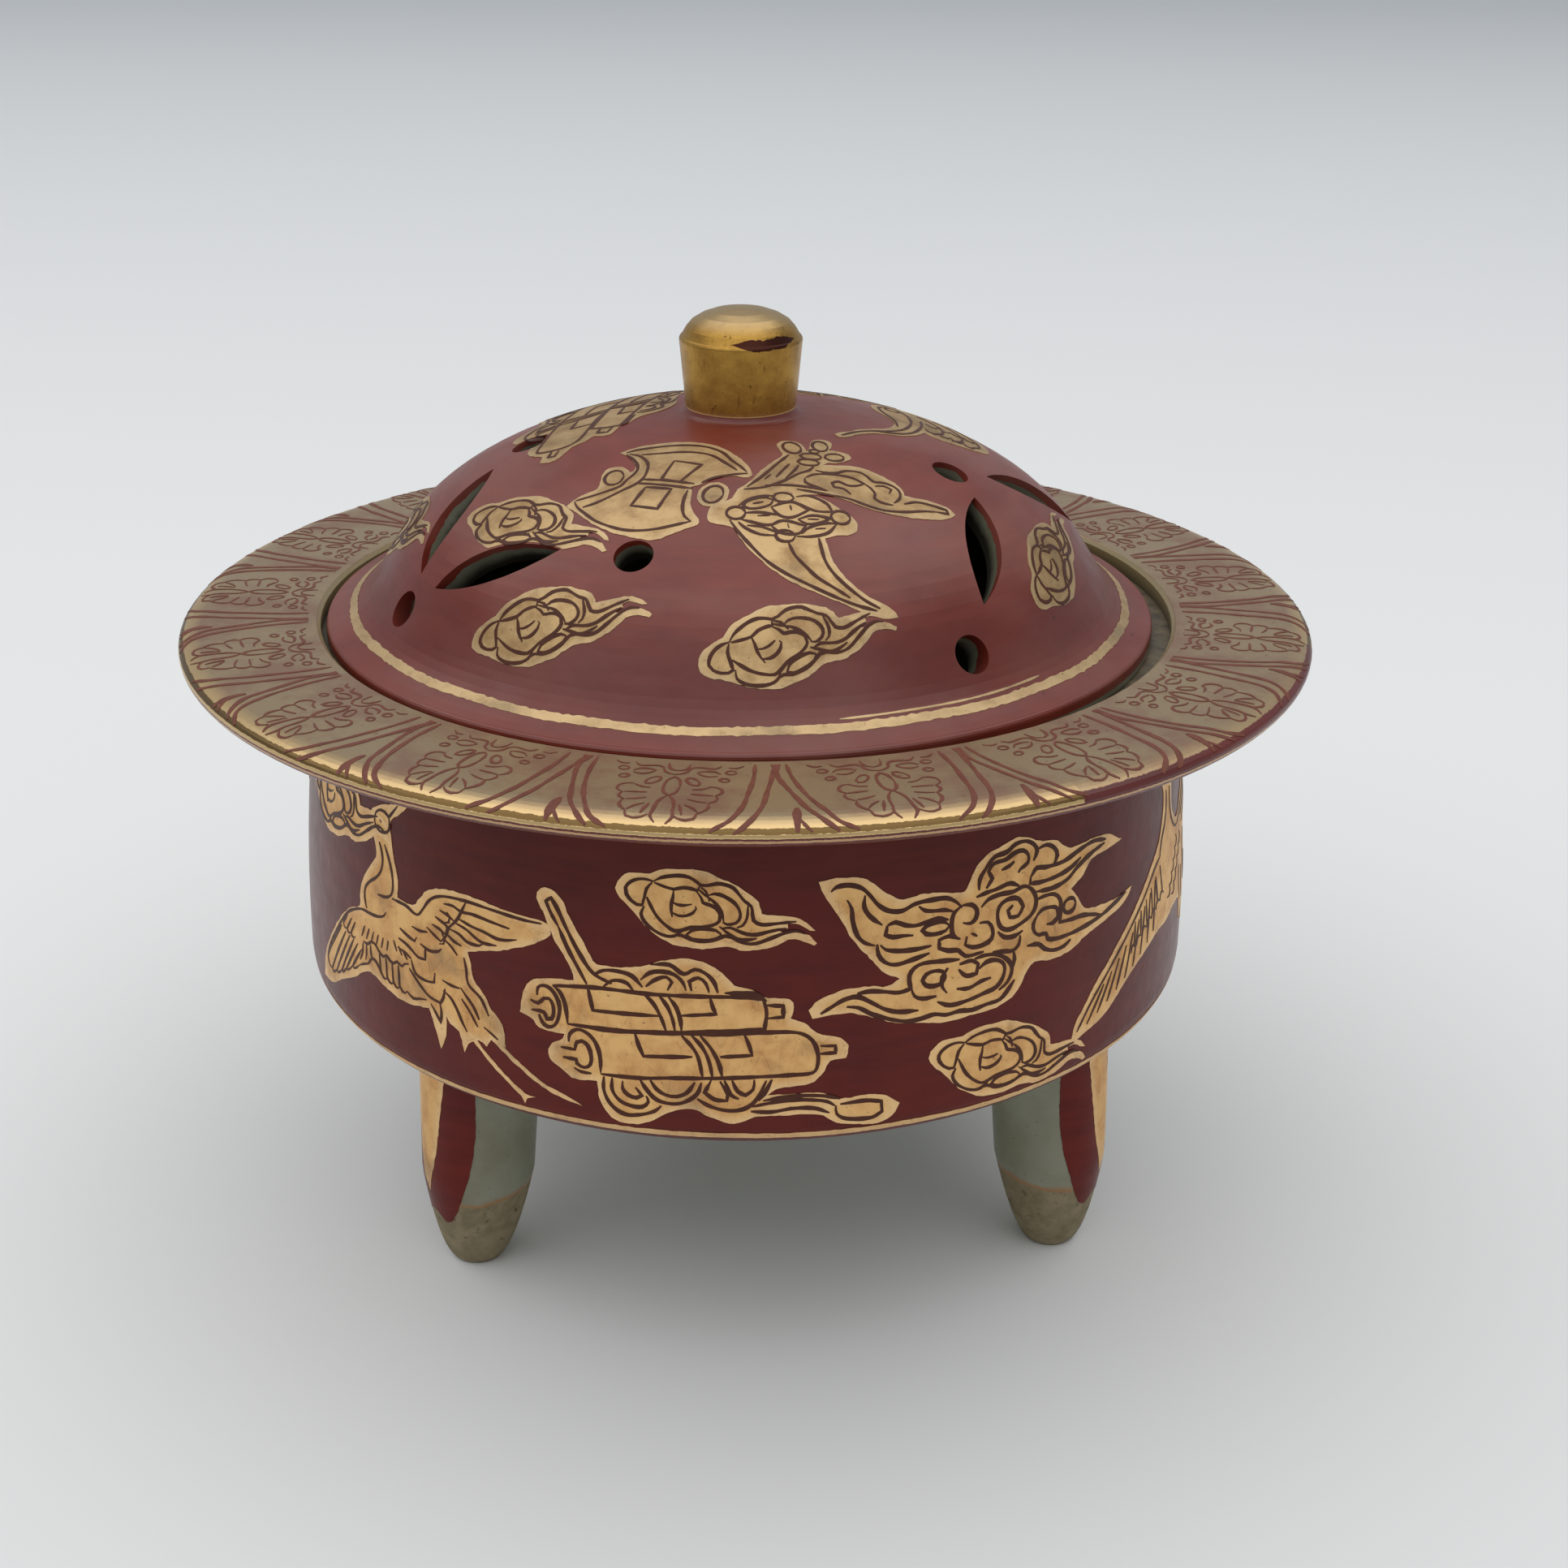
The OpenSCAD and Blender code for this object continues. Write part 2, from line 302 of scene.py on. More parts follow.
def scallops(start, end, count, depth):
    """A row of feather ends, each a small bow to the left of the way from start to end."""
    length = math.dist(start, end)
    side = (-(end[1] - start[1]) / length * depth, (end[0] - start[0]) / length * depth)
    row = []
    for k in range(count):
        a, b = between(start, end, k / count), between(start, end, (k + 1) / count)
        one, two = between(a, b, 0.25), between(a, b, 0.75)
        row.append([a, (one[0] + side[0], one[1] + side[1]), (two[0] + side[0], two[1] + side[1]), b])
    return row


def new_sheet():
    """A mesh being built: its points, its faces, and how far each point lies inside the painted edge."""
    return {"points": [], "faces": [], "inset": []}


def lay_film(sheet, outline, surface, lift=GOLD_FILM, cuts=(), grid=1.3):
    """Adds a closed film of gold with a hand-cut edge. Holes in cuts are left open."""
    hand = random.Random(len(sheet["points"]))
    edge = outline + np.array([[hand.uniform(-HAND_SHAKE, HAND_SHAKE) for _ in "uv"] for _ in outline])
    rings = [edge] + [np.array(c) for c in cuts]
    ends = [np.roll(ring, -1, 0) for ring in rings]
    seg_a, seg_b = np.concatenate(rings), np.concatenate(ends)

    def inside(p, ring, end):
        crosses = (ring[:, 1] > p[1]) != (end[:, 1] > p[1])
        run = (end[:, 0] - ring[:, 0]) * (p[1] - ring[:, 1])
        rise = np.where(crosses, end[:, 1] - ring[:, 1], 1.0)
        return np.count_nonzero(crosses & (p[0] < ring[:, 0] + run / rise)) % 2 == 1

    def painted(p):
        return inside(p, rings[0], ends[0]) and not any(
            inside(p, r, e) for r, e in zip(rings[1:], ends[1:]))

    def distance(p, a, b):
        along = np.clip(((p - a) * (b - a)).sum(1) / np.maximum(((b - a) ** 2).sum(1), 1e-12), 0, 1)
        return np.sqrt(((a + (b - a) * along[:, None] - p) ** 2).sum(1)).min()

    filling = []
    low, high = edge.min(0), edge.max(0)
    for row, v in enumerate(np.arange(low[1] + grid / 2, high[1], grid)):
        for u in np.arange(low[0] + grid / 2 * (1 + row % 2), high[0], grid):
            p = np.array([u, v])
            if distance(p, seg_a, seg_b) > 0.35 * grid and painted(p):
                filling.append(p)
    coords, edges = [], []
    for ring in rings:
        first = len(coords)
        coords += [Vector(p) for p in ring]
        edges += [(first + k, first + (k + 1) % len(ring)) for k in range(len(ring))]
    coords += [Vector(p) for p in filling]
    flat, _, faces, *_ = delaunay_2d_cdt(coords, edges, [], 0, 1e-5)
    flat = np.array([tuple(p) for p in flat])
    kept = []
    for face in faces:
        a, b, c = (flat[k] for k in face)
        turn = (b[0] - a[0]) * (c[1] - a[1]) - (b[1] - a[1]) * (c[0] - a[0])
        if abs(turn) > 1e-6 and painted((a + b + c) / 3):
            kept.append(tuple(face) if turn > 0 else tuple(reversed(face)))
    used = sorted({k for face in kept for k in face})
    new = {old: k for k, old in enumerate(used)}
    kept = [tuple(new[k] for k in face) for face in kept]
    flat = flat[used]
    count, first = len(flat), len(sheet["points"])
    sheet["points"] += list(surface(flat, lift)) + list(surface(flat, -FILM_ROOT))
    inset = [distance(p, edge, ends[0]) for p in flat]
    sheet["inset"] += inset + inset
    directed = {(f[k], f[(k + 1) % 3]) for f in kept for k in range(3)}
    for a, b, c in kept:
        sheet["faces"].append((first + a, first + b, first + c))
        sheet["faces"].append((first + count + c, first + count + b, first + count + a))
    for a, b in sorted(directed):
        if (b, a) not in directed:
            sheet["faces"].append((first + b, first + a, first + count + a, first + count + b))


def lay_stroke(sheet, points, surface, width, lift):
    """Adds one brush line: a thin closed ribbon that swells and tapers as a brush does."""
    line = flowing(points, BRUSH_STEP)
    count = len(line)
    way = np.gradient(line, axis=0)
    way /= np.maximum(np.linalg.norm(way, axis=1), 1e-9)[:, None]
    across = np.stack([-way[:, 1], way[:, 0]], 1)
    steps = np.linalg.norm(np.diff(line, axis=0), axis=1)
    run = np.concatenate([[0], np.cumsum(steps)])
    hand = random.Random(len(sheet["points"]) + 3)
    lift += hand.uniform(0, 0.012)
    phase = hand.uniform(0, 6.28)
    press = 1 + 0.16 * np.sin(run * 1.3 + phase) + 0.08 * np.sin(run * 3.7 + 2 * phase)
    near_end = np.minimum(run, run[-1] - run)
    press *= 0.4 + 0.6 * np.clip(near_end / BRUSH_FADE, 0, 1)
    half = (width / 2 * press)[:, None]
    left, right = line + across * half, line - across * half
    first = len(sheet["points"])
    for row, level in ((left, lift), (right, lift), (right, -BRUSH_ROOT), (left, -BRUSH_ROOT)):
        sheet["points"] += list(surface(row, level))
        sheet["inset"] += [0.0] * count
    for k in range(count - 1):
        for a, b in ((1, 0), (0, 3), (3, 2), (2, 1)):
            sheet["faces"].append((first + a * count + k, first + a * count + k + 1,
                                   first + b * count + k + 1, first + b * count + k))
    sheet["faces"].append(tuple(first + a * count for a in (0, 3, 2, 1)))
    sheet["faces"].append(tuple(first + a * count + count - 1 for a in (1, 2, 3, 0)))


def make_piece(name, sheet, material, body):
    """Turns a finished sheet into a piece that rides on its body."""
    mesh = bpy.data.meshes.new(name)
    mesh.from_pydata([tuple(p) for p in sheet["points"]], [], sheet["faces"])
    mesh.attributes.new("inset", "FLOAT", "POINT").data.foreach_set("value", sheet["inset"])
    mesh.materials.append(material)
    piece = bpy.data.objects.new(name, mesh)
    bpy.context.scene.collection.objects.link(piece)
    smooth(piece)
    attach(piece, body)


def placed(points, middle, shift=(0, 0), size=1.0, turn=0.0, mirror=False):
    """Moves, sizes, turns or mirrors drawn points about the drawing's middle."""
    c, s = math.cos(math.radians(turn)) * size, math.sin(math.radians(turn)) * size
    moved = []
    for u, v in points:
        x, y = (middle[0] - u if mirror else u - middle[0]), v - middle[1]
        moved.append((middle[0] + shift[0] + x * c - y * s, middle[1] + shift[1] + x * s + y * c))
    return moved


def paint(gold, brush, drawing, surface, width, lift=GOLD_FILM, cuts=(), **where):
    """Paints one drawing: its gold films first, then its brush lines."""
    for skin in drawing["skins"]:
        outline = flowing(placed(skin, drawing["middle"], **where), OUTLINE_STEP, closed=True)
        lay_film(gold, outline, surface, lift, cuts)
    for line in drawing["lines"]:
        lay_stroke(brush, placed(line, drawing["middle"], **where), surface, width, lift + BRUSH_RISE)


crane = {
    "middle": (-34, 44),
    "skins": [
        [(-35.3, 57.6), (-36.6, 57.4), (-38.4, 56.9), (-39.8, 56.4), (-41.3, 55.5), (-41.6, 54.4),
         (-40.6, 52.9), (-40, 51.5), (-40.6, 50.4), (-41.8, 49), (-42.7, 47.4), (-43, 46), (-43, 45),
         (-45, 44), (-47, 42.4), (-49, 40.3), (-51, 37.9), (-52.6, 35.6), (-53.4, 32.9), (-51, 33.2),
         (-49, 34.1), (-47.4, 35.1), (-45.5, 36.1), (-43.9, 37), (-42.5, 38), (-41, 38.6), (-39.6, 38.4),
         (-38, 38), (-36.4, 37.7), (-34.6, 37.7), (-33, 38), (-31.8, 38.2), (-31.2, 37), (-30.3, 34.4),
         (-29.6, 36), (-29.5, 38.2), (-29, 37.5), (-27.9, 37), (-27.3, 35), (-26.8, 36), (-25.5, 36.8),
         (-24.6, 36.4), (-24, 37.5), (-22.5, 36.9), (-22.8, 39.2), (-24, 40.5), (-25, 42), (-26, 43),
         (-26.4, 44.5), (-26.8, 45.6), (-25, 46.2), (-23, 46.7), (-21, 47.5), (-19.3, 48.2), (-17.6, 49.4),
         (-18, 50.4), (-21.8, 50.7), (-24.3, 51), (-27.5, 51.2), (-30, 51), (-31.8, 50.4), (-33, 49.3),
         (-34, 48.2), (-36.4, 48.2), (-36.4, 50), (-36.9, 51.3), (-37.4, 53), (-37.9, 55.4), (-36.6, 56.4)],
        [(-26.9, 37.2), (-24, 34.6), (-20.9, 32.2), (-20.5, 31.5), (-20.3, 32.1), (-19.4, 32.4),
         (-20.5, 32.6), (-23.7, 34.9), (-26.5, 37.4)],
        [(-24.4, 37.6), (-21, 35.2), (-18.2, 33.6), (-16, 32.9), (-14.6, 32.6), (-16, 33.3), (-18.1, 34),
         (-20.8, 35.6), (-24, 38)]],
    "lines": [
        [(-40.6, 54.5), (-40.5, 55.4), (-39.9, 55.9), (-39, 56), (-38.2, 55.7), (-37.4, 56.6),
         (-36.9, 57.2)],
        [(-38.2, 55.7), (-38, 54.8), (-38.3, 54.2), (-39.2, 53.9), (-40.1, 54), (-40.6, 54.5)],
        [(-39.7, 55), (-39.4, 54.8)],
        [(-39.6, 52.8), (-39.1, 51.9), (-38.9, 51), (-39.2, 49.9), (-40, 49), (-41.1, 48.2), (-41.9, 47.3),
         (-42, 46.2), (-41.6, 45.2)],
        [(-38.7, 52.8), (-38, 51.8), (-37.4, 50.6), (-37.1, 49.2), (-37.3, 48.2), (-38.2, 47.6),
         (-39.6, 47.4)],
        [(-37.2, 47.8), (-35, 47.8), (-33.4, 47.4), (-32.6, 48.2), (-31.8, 49.3), (-30.8, 50),
         (-29.4, 50.4), (-27, 50.6), (-24, 50.5), (-20.5, 50.3), (-18.6, 50.3)],
        [(-29.8, 49.6), (-28.6, 49.7), (-27.7, 49.4), (-26.3, 49.5), (-24, 49.3), (-22, 49.1)],
        [(-27.1, 50.4), (-27.5, 49.6), (-27.9, 48.8), (-28.4, 48.1), (-29.1, 47.4), (-29.4, 46.5),
         (-30.1, 45.7)],
        [(-27.8, 48.6), (-26.4, 48.3), (-24.8, 48.1), (-23.4, 47.8), (-22.3, 47.9), (-21.2, 48.2)],
        [(-28.3, 48.1), (-26.9, 47.8), (-25.9, 47.3), (-25, 47), (-23.4, 47.1)],
        [(-29, 47.3), (-27.8, 47.1), (-26.8, 46.6), (-25.4, 46.6), (-24.9, 46.9)],
        [(-29.4, 46.7), (-28.4, 46.2), (-27.5, 46)], [(-29.8, 46.1), (-28.8, 45.6), (-28, 44.9)],
        [(-30.3, 48.8), (-29.3, 48.6), (-28.4, 48.2)], [(-30.9, 48), (-29.9, 47.7), (-29.1, 47.4)],
        [(-31.3, 47.1), (-30.3, 46.9), (-29.4, 46.5)], [(-32, 46.6), (-31, 46.1), (-30.1, 45.7)],
        [(-35.9, 45.2), (-34.7, 44.8), (-33.7, 44.6), (-33.4, 45.1)],
        [(-36.1, 44.1), (-35, 43.9), (-34, 43.5), (-33.2, 43.1), (-32.2, 43.2), (-32.2, 44.4)],
        [(-36.2, 43.1), (-35, 42.9), (-34.2, 42.6)], [(-34.1, 46), (-33, 45.9), (-31.9, 46.1)],
        [(-32.9, 44.6), (-31.6, 44.3), (-30.4, 44.6), (-30, 45)],
        [(-34.2, 42.5), (-33.6, 41.3), (-32.2, 41), (-31, 41.2), (-30.9, 42.2)],
        [(-34.5, 41.5), (-33, 40.3), (-31.7, 39.5), (-30.2, 39.3), (-29.8, 40), (-29.6, 41)],
        [(-29.9, 41.8), (-28.8, 41.6), (-27.7, 41.6)],
        [(-31.5, 38.8), (-30.8, 38), (-30.2, 37.2), (-30.1, 38.4), (-30.3, 39.3)],
        [(-29.8, 40.7), (-28.9, 40.3), (-28.1, 39.3), (-27.5, 38.2), (-26.9, 37.3)],
        [(-27.6, 41.7), (-26.9, 41), (-26.1, 40.2), (-25.4, 39)],
        [(-27.2, 44.9), (-26.9, 43.8), (-26.7, 42.4), (-25.3, 41.4), (-24.8, 40.7), (-24.3, 39.7)],
        [(-27.5, 40.6), (-26.5, 39.5), (-25.6, 38.2)], [(-24.9, 38.4), (-24.1, 38), (-23.3, 37.5)],
        [(-51.6, 36.2), (-50.2, 38.2), (-48.6, 40), (-46.9, 42), (-45.4, 43.4), (-43.8, 44.3),
         (-42.4, 44.8), (-41, 44.9), (-39.6, 45.1), (-38.6, 45.5), (-38.2, 46)],
        [(-42.3, 41.4), (-41.4, 41.5), (-40.9, 41.9), (-40.1, 42), (-39.4, 41.5), (-38.7, 41.2),
         (-38.1, 41.5), (-37.5, 41.2), (-37, 41.1), (-36.4, 41.5), (-35.6, 41.3), (-35.2, 41.7),
         (-34.6, 41.9)],
        [(-42.4, 41.2), (-42.5, 40.2), (-43, 39.2)], [(-41.7, 41.3), (-41.7, 40.4), (-41.9, 39.6)],
        [(-40.9, 41.6), (-40.9, 40.8), (-40.6, 40.1)],
        [(-43.2, 38.5), (-42.3, 39), (-41.4, 39.4), (-40.7, 40.2), (-40, 40.2), (-39.3, 39.6),
         (-39.1, 39.3)],
        [(-34.9, 38.9), (-34, 38.5), (-33, 38.8), (-32.1, 39)],
        *plumes([(-47.2, 41.2), (-46.2, 40.9), (-45.2, 40.9), (-44.3, 40.9), (-43.5, 40.7), (-42.7, 40.4),
                 (-42, 40.3)],
                [(-51.6, 36), (-50.4, 35), (-48.9, 35.5), (-47.5, 36.1), (-46.2, 36.9), (-44.7, 37.8),
                 (-43.2, 38.5)]),
        *plumes([(-39.3, 41.2), (-38.2, 41.2), (-37.2, 41.1), (-36.2, 41.2), (-35.2, 40.9)],
                [(-39.1, 39.4), (-38, 39.2), (-37, 39.1), (-36, 39), (-34.9, 38.9)]),
        *plumes([(-45.6, 43.1), (-44.8, 42.9), (-44, 42.8), (-43.2, 42.6)],
                [(-46.7, 41.7), (-45.8, 41.4), (-44.9, 41.3), (-44, 41.2)]),
        *quills([(-42, 43.2), (-37.8, 43.2)], [(-42.6, 41.9), (-38, 42.1)], 6),
        *quills([(-36.9, 43.6), (-35.4, 42.9)], [(-36.4, 42.6), (-34.8, 42.3)], 3),
        *scallops((-29.4, 48.9), (-30.3, 45.4), 3, 0.5)],
}

cloud = {
    "middle": (-2.4, 0.2),
    "skins": [
        [(-8.5, 1.3), (-8.3, 1.9), (-7.9, 2.4), (-7.2, 2.8), (-6.2, 2.9), (-5.2, 2.9), (-4.3, 3.3),
         (-3.2, 3.5), (-2.1, 3.5), (-0.9, 3.5), (0.1, 3.3), (1, 2.9), (2, 2.5), (2.9, 2.1), (3.7, 1.5),
         (4.5, 0.9), (4.9, 0.2), (5, -0.5), (6.1, -0.65), (7.4, -0.8), (8.2, -0.95), (8.9, -1.3),
         (9.5, -1.8), (9.9, -2.3), (9.4, -2.2), (8.8, -1.8), (8.1, -1.5), (7.4, -1.5), (7.4, -1.9),
         (6.6, -2.1), (7.2, -2.4), (8.2, -2.3), (9, -2.5), (9.6, -2.9), (10.1, -3.5), (9.8, -3.7),
         (9.3, -3.4), (8.8, -3.2), (8.1, -3), (7.5, -3), (6.9, -3.3), (5.9, -3.7), (4.7, -3.9), (3.5, -4),
         (2.7, -3.8), (1.9, -3.6), (0.9, -3.7), (-0.3, -3.9), (-1.7, -3.8), (-3.1, -3.6), (-4.1, -3.1),
         (-5, -2.5), (-5.9, -1.7), (-6.6, -0.9), (-7.3, -0.2), (-8, 0.4)]],
    "lines": [
        [(-4.9, 2.2), (-5.6, 2.35), (-6.3, 2.3), (-7, 2), (-7.5, 1.4), (-7.4, 0.8), (-6.9, 0.2),
         (-6.4, -0.1), (-5.9, -0.1), (-5.7, 0.7), (-5.5, 1.5), (-5, 2.1)],
        [(-4.9, 2.2), (-4.2, 2.6), (-3.4, 2.8), (-2.5, 2.9), (-1.6, 2.8), (-0.9, 2.4), (-0.5, 2.1),
         (0.1, 2.1), (1, 2.3), (1.8, 2.2), (2.5, 1.9), (3, 1.3), (3.5, 0.7), (4.1, 0.2), (4.2, -0.5),
         (4.3, -1.1), (5, -1.5), (6.2, -1.45), (7.3, -1.35), (8.2, -1.3)],
        [(-4.8, 2.1), (-4.2, 1.9), (-3.5, 1.7), (-3, 1.6), (-2.2, 1.8), (-1.4, 1.75), (-0.8, 1.6),
         (-0.6, 2)],
        [(-3, 1.5), (-3.05, 0.9), (-3.2, 0.2), (-3.2, -0.4), (-3.1, -1)],
        [(-3.1, 0.4), (-2.7, 0.2), (-2, 0.15), (-1.3, 0.3)],
        [(-3.1, -0.6), (-2.5, -0.85), (-1.8, -0.8), (-1.2, -0.5), (-0.9, -0.1), (-1, 0.1)],
        [(-0.9, 1.5), (-0.5, 1), (-0.3, 0.5), (0.3, 0.3), (0.9, 0), (1.3, -0.6), (1.2, -1.2), (0.6, -1.6),
         (-0.4, -1.8), (-1.4, -1.9), (-2.2, -2.2), (-2.9, -2.3), (-3.6, -1.9), (-4.2, -1.4), (-4.7, -0.8),
         (-5.1, -0.1), (-5.5, 0.7)],
        [(-0.7, 1.7), (-0.1, 1.2), (0.3, 0.9)], [(-0.5, 1.9), (0, 1.5), (0.3, 0.6)],
        [(-5.7, -0.2), (-6, -0.9), (-5.7, -1.6), (-5.2, -2.1), (-4.4, -2.6), (-3.6, -2.85), (-2.9, -2.8),
         (-2.2, -2.3)],
        oval(-0.2, -2.55, 1.6, 0.55, 3),
        [(-3, -2.8), (-2.2, -2.7), (-1.5, -3.05), (-0.6, -3.2), (0.4, -3.1), (1.2, -2.8), (1.7, -2.6),
         (2.3, -2.7), (2.9, -3.05), (3.6, -3.3), (4.5, -3.3), (5.4, -3), (6.3, -2.65), (7.3, -2.3),
         (8.2, -2.2), (9, -2.5)],
        [(0.2, 1.2), (0.7, 1.35), (1.2, 1.3), (1.9, 1), (2.6, 0.5), (3, -0.1), (3.1, -0.8), (2.7, -1.35),
         (1.9, -1.5), (1.5, -1.3)],
        [(0.2, 1), (0.7, 0.6), (1.2, 0), (1.5, -0.7), (1.6, -1.3)],
        [(3.8, 0.3), (3.7, -0.9), (3.3, -1.6), (2.8, -1.8)],
        [(1.4, -1.9), (2.2, -1.8), (2.9, -2.1), (3.7, -2.4), (4.6, -2.45), (5.6, -2.2), (6.6, -2),
         (7.3, -1.9)],
        [(1.2, -1.7), (1.7, -2.1), (2.2, -2.5), (2.9, -2.9), (3.8, -2.95), (4.6, -2.8)]],
}

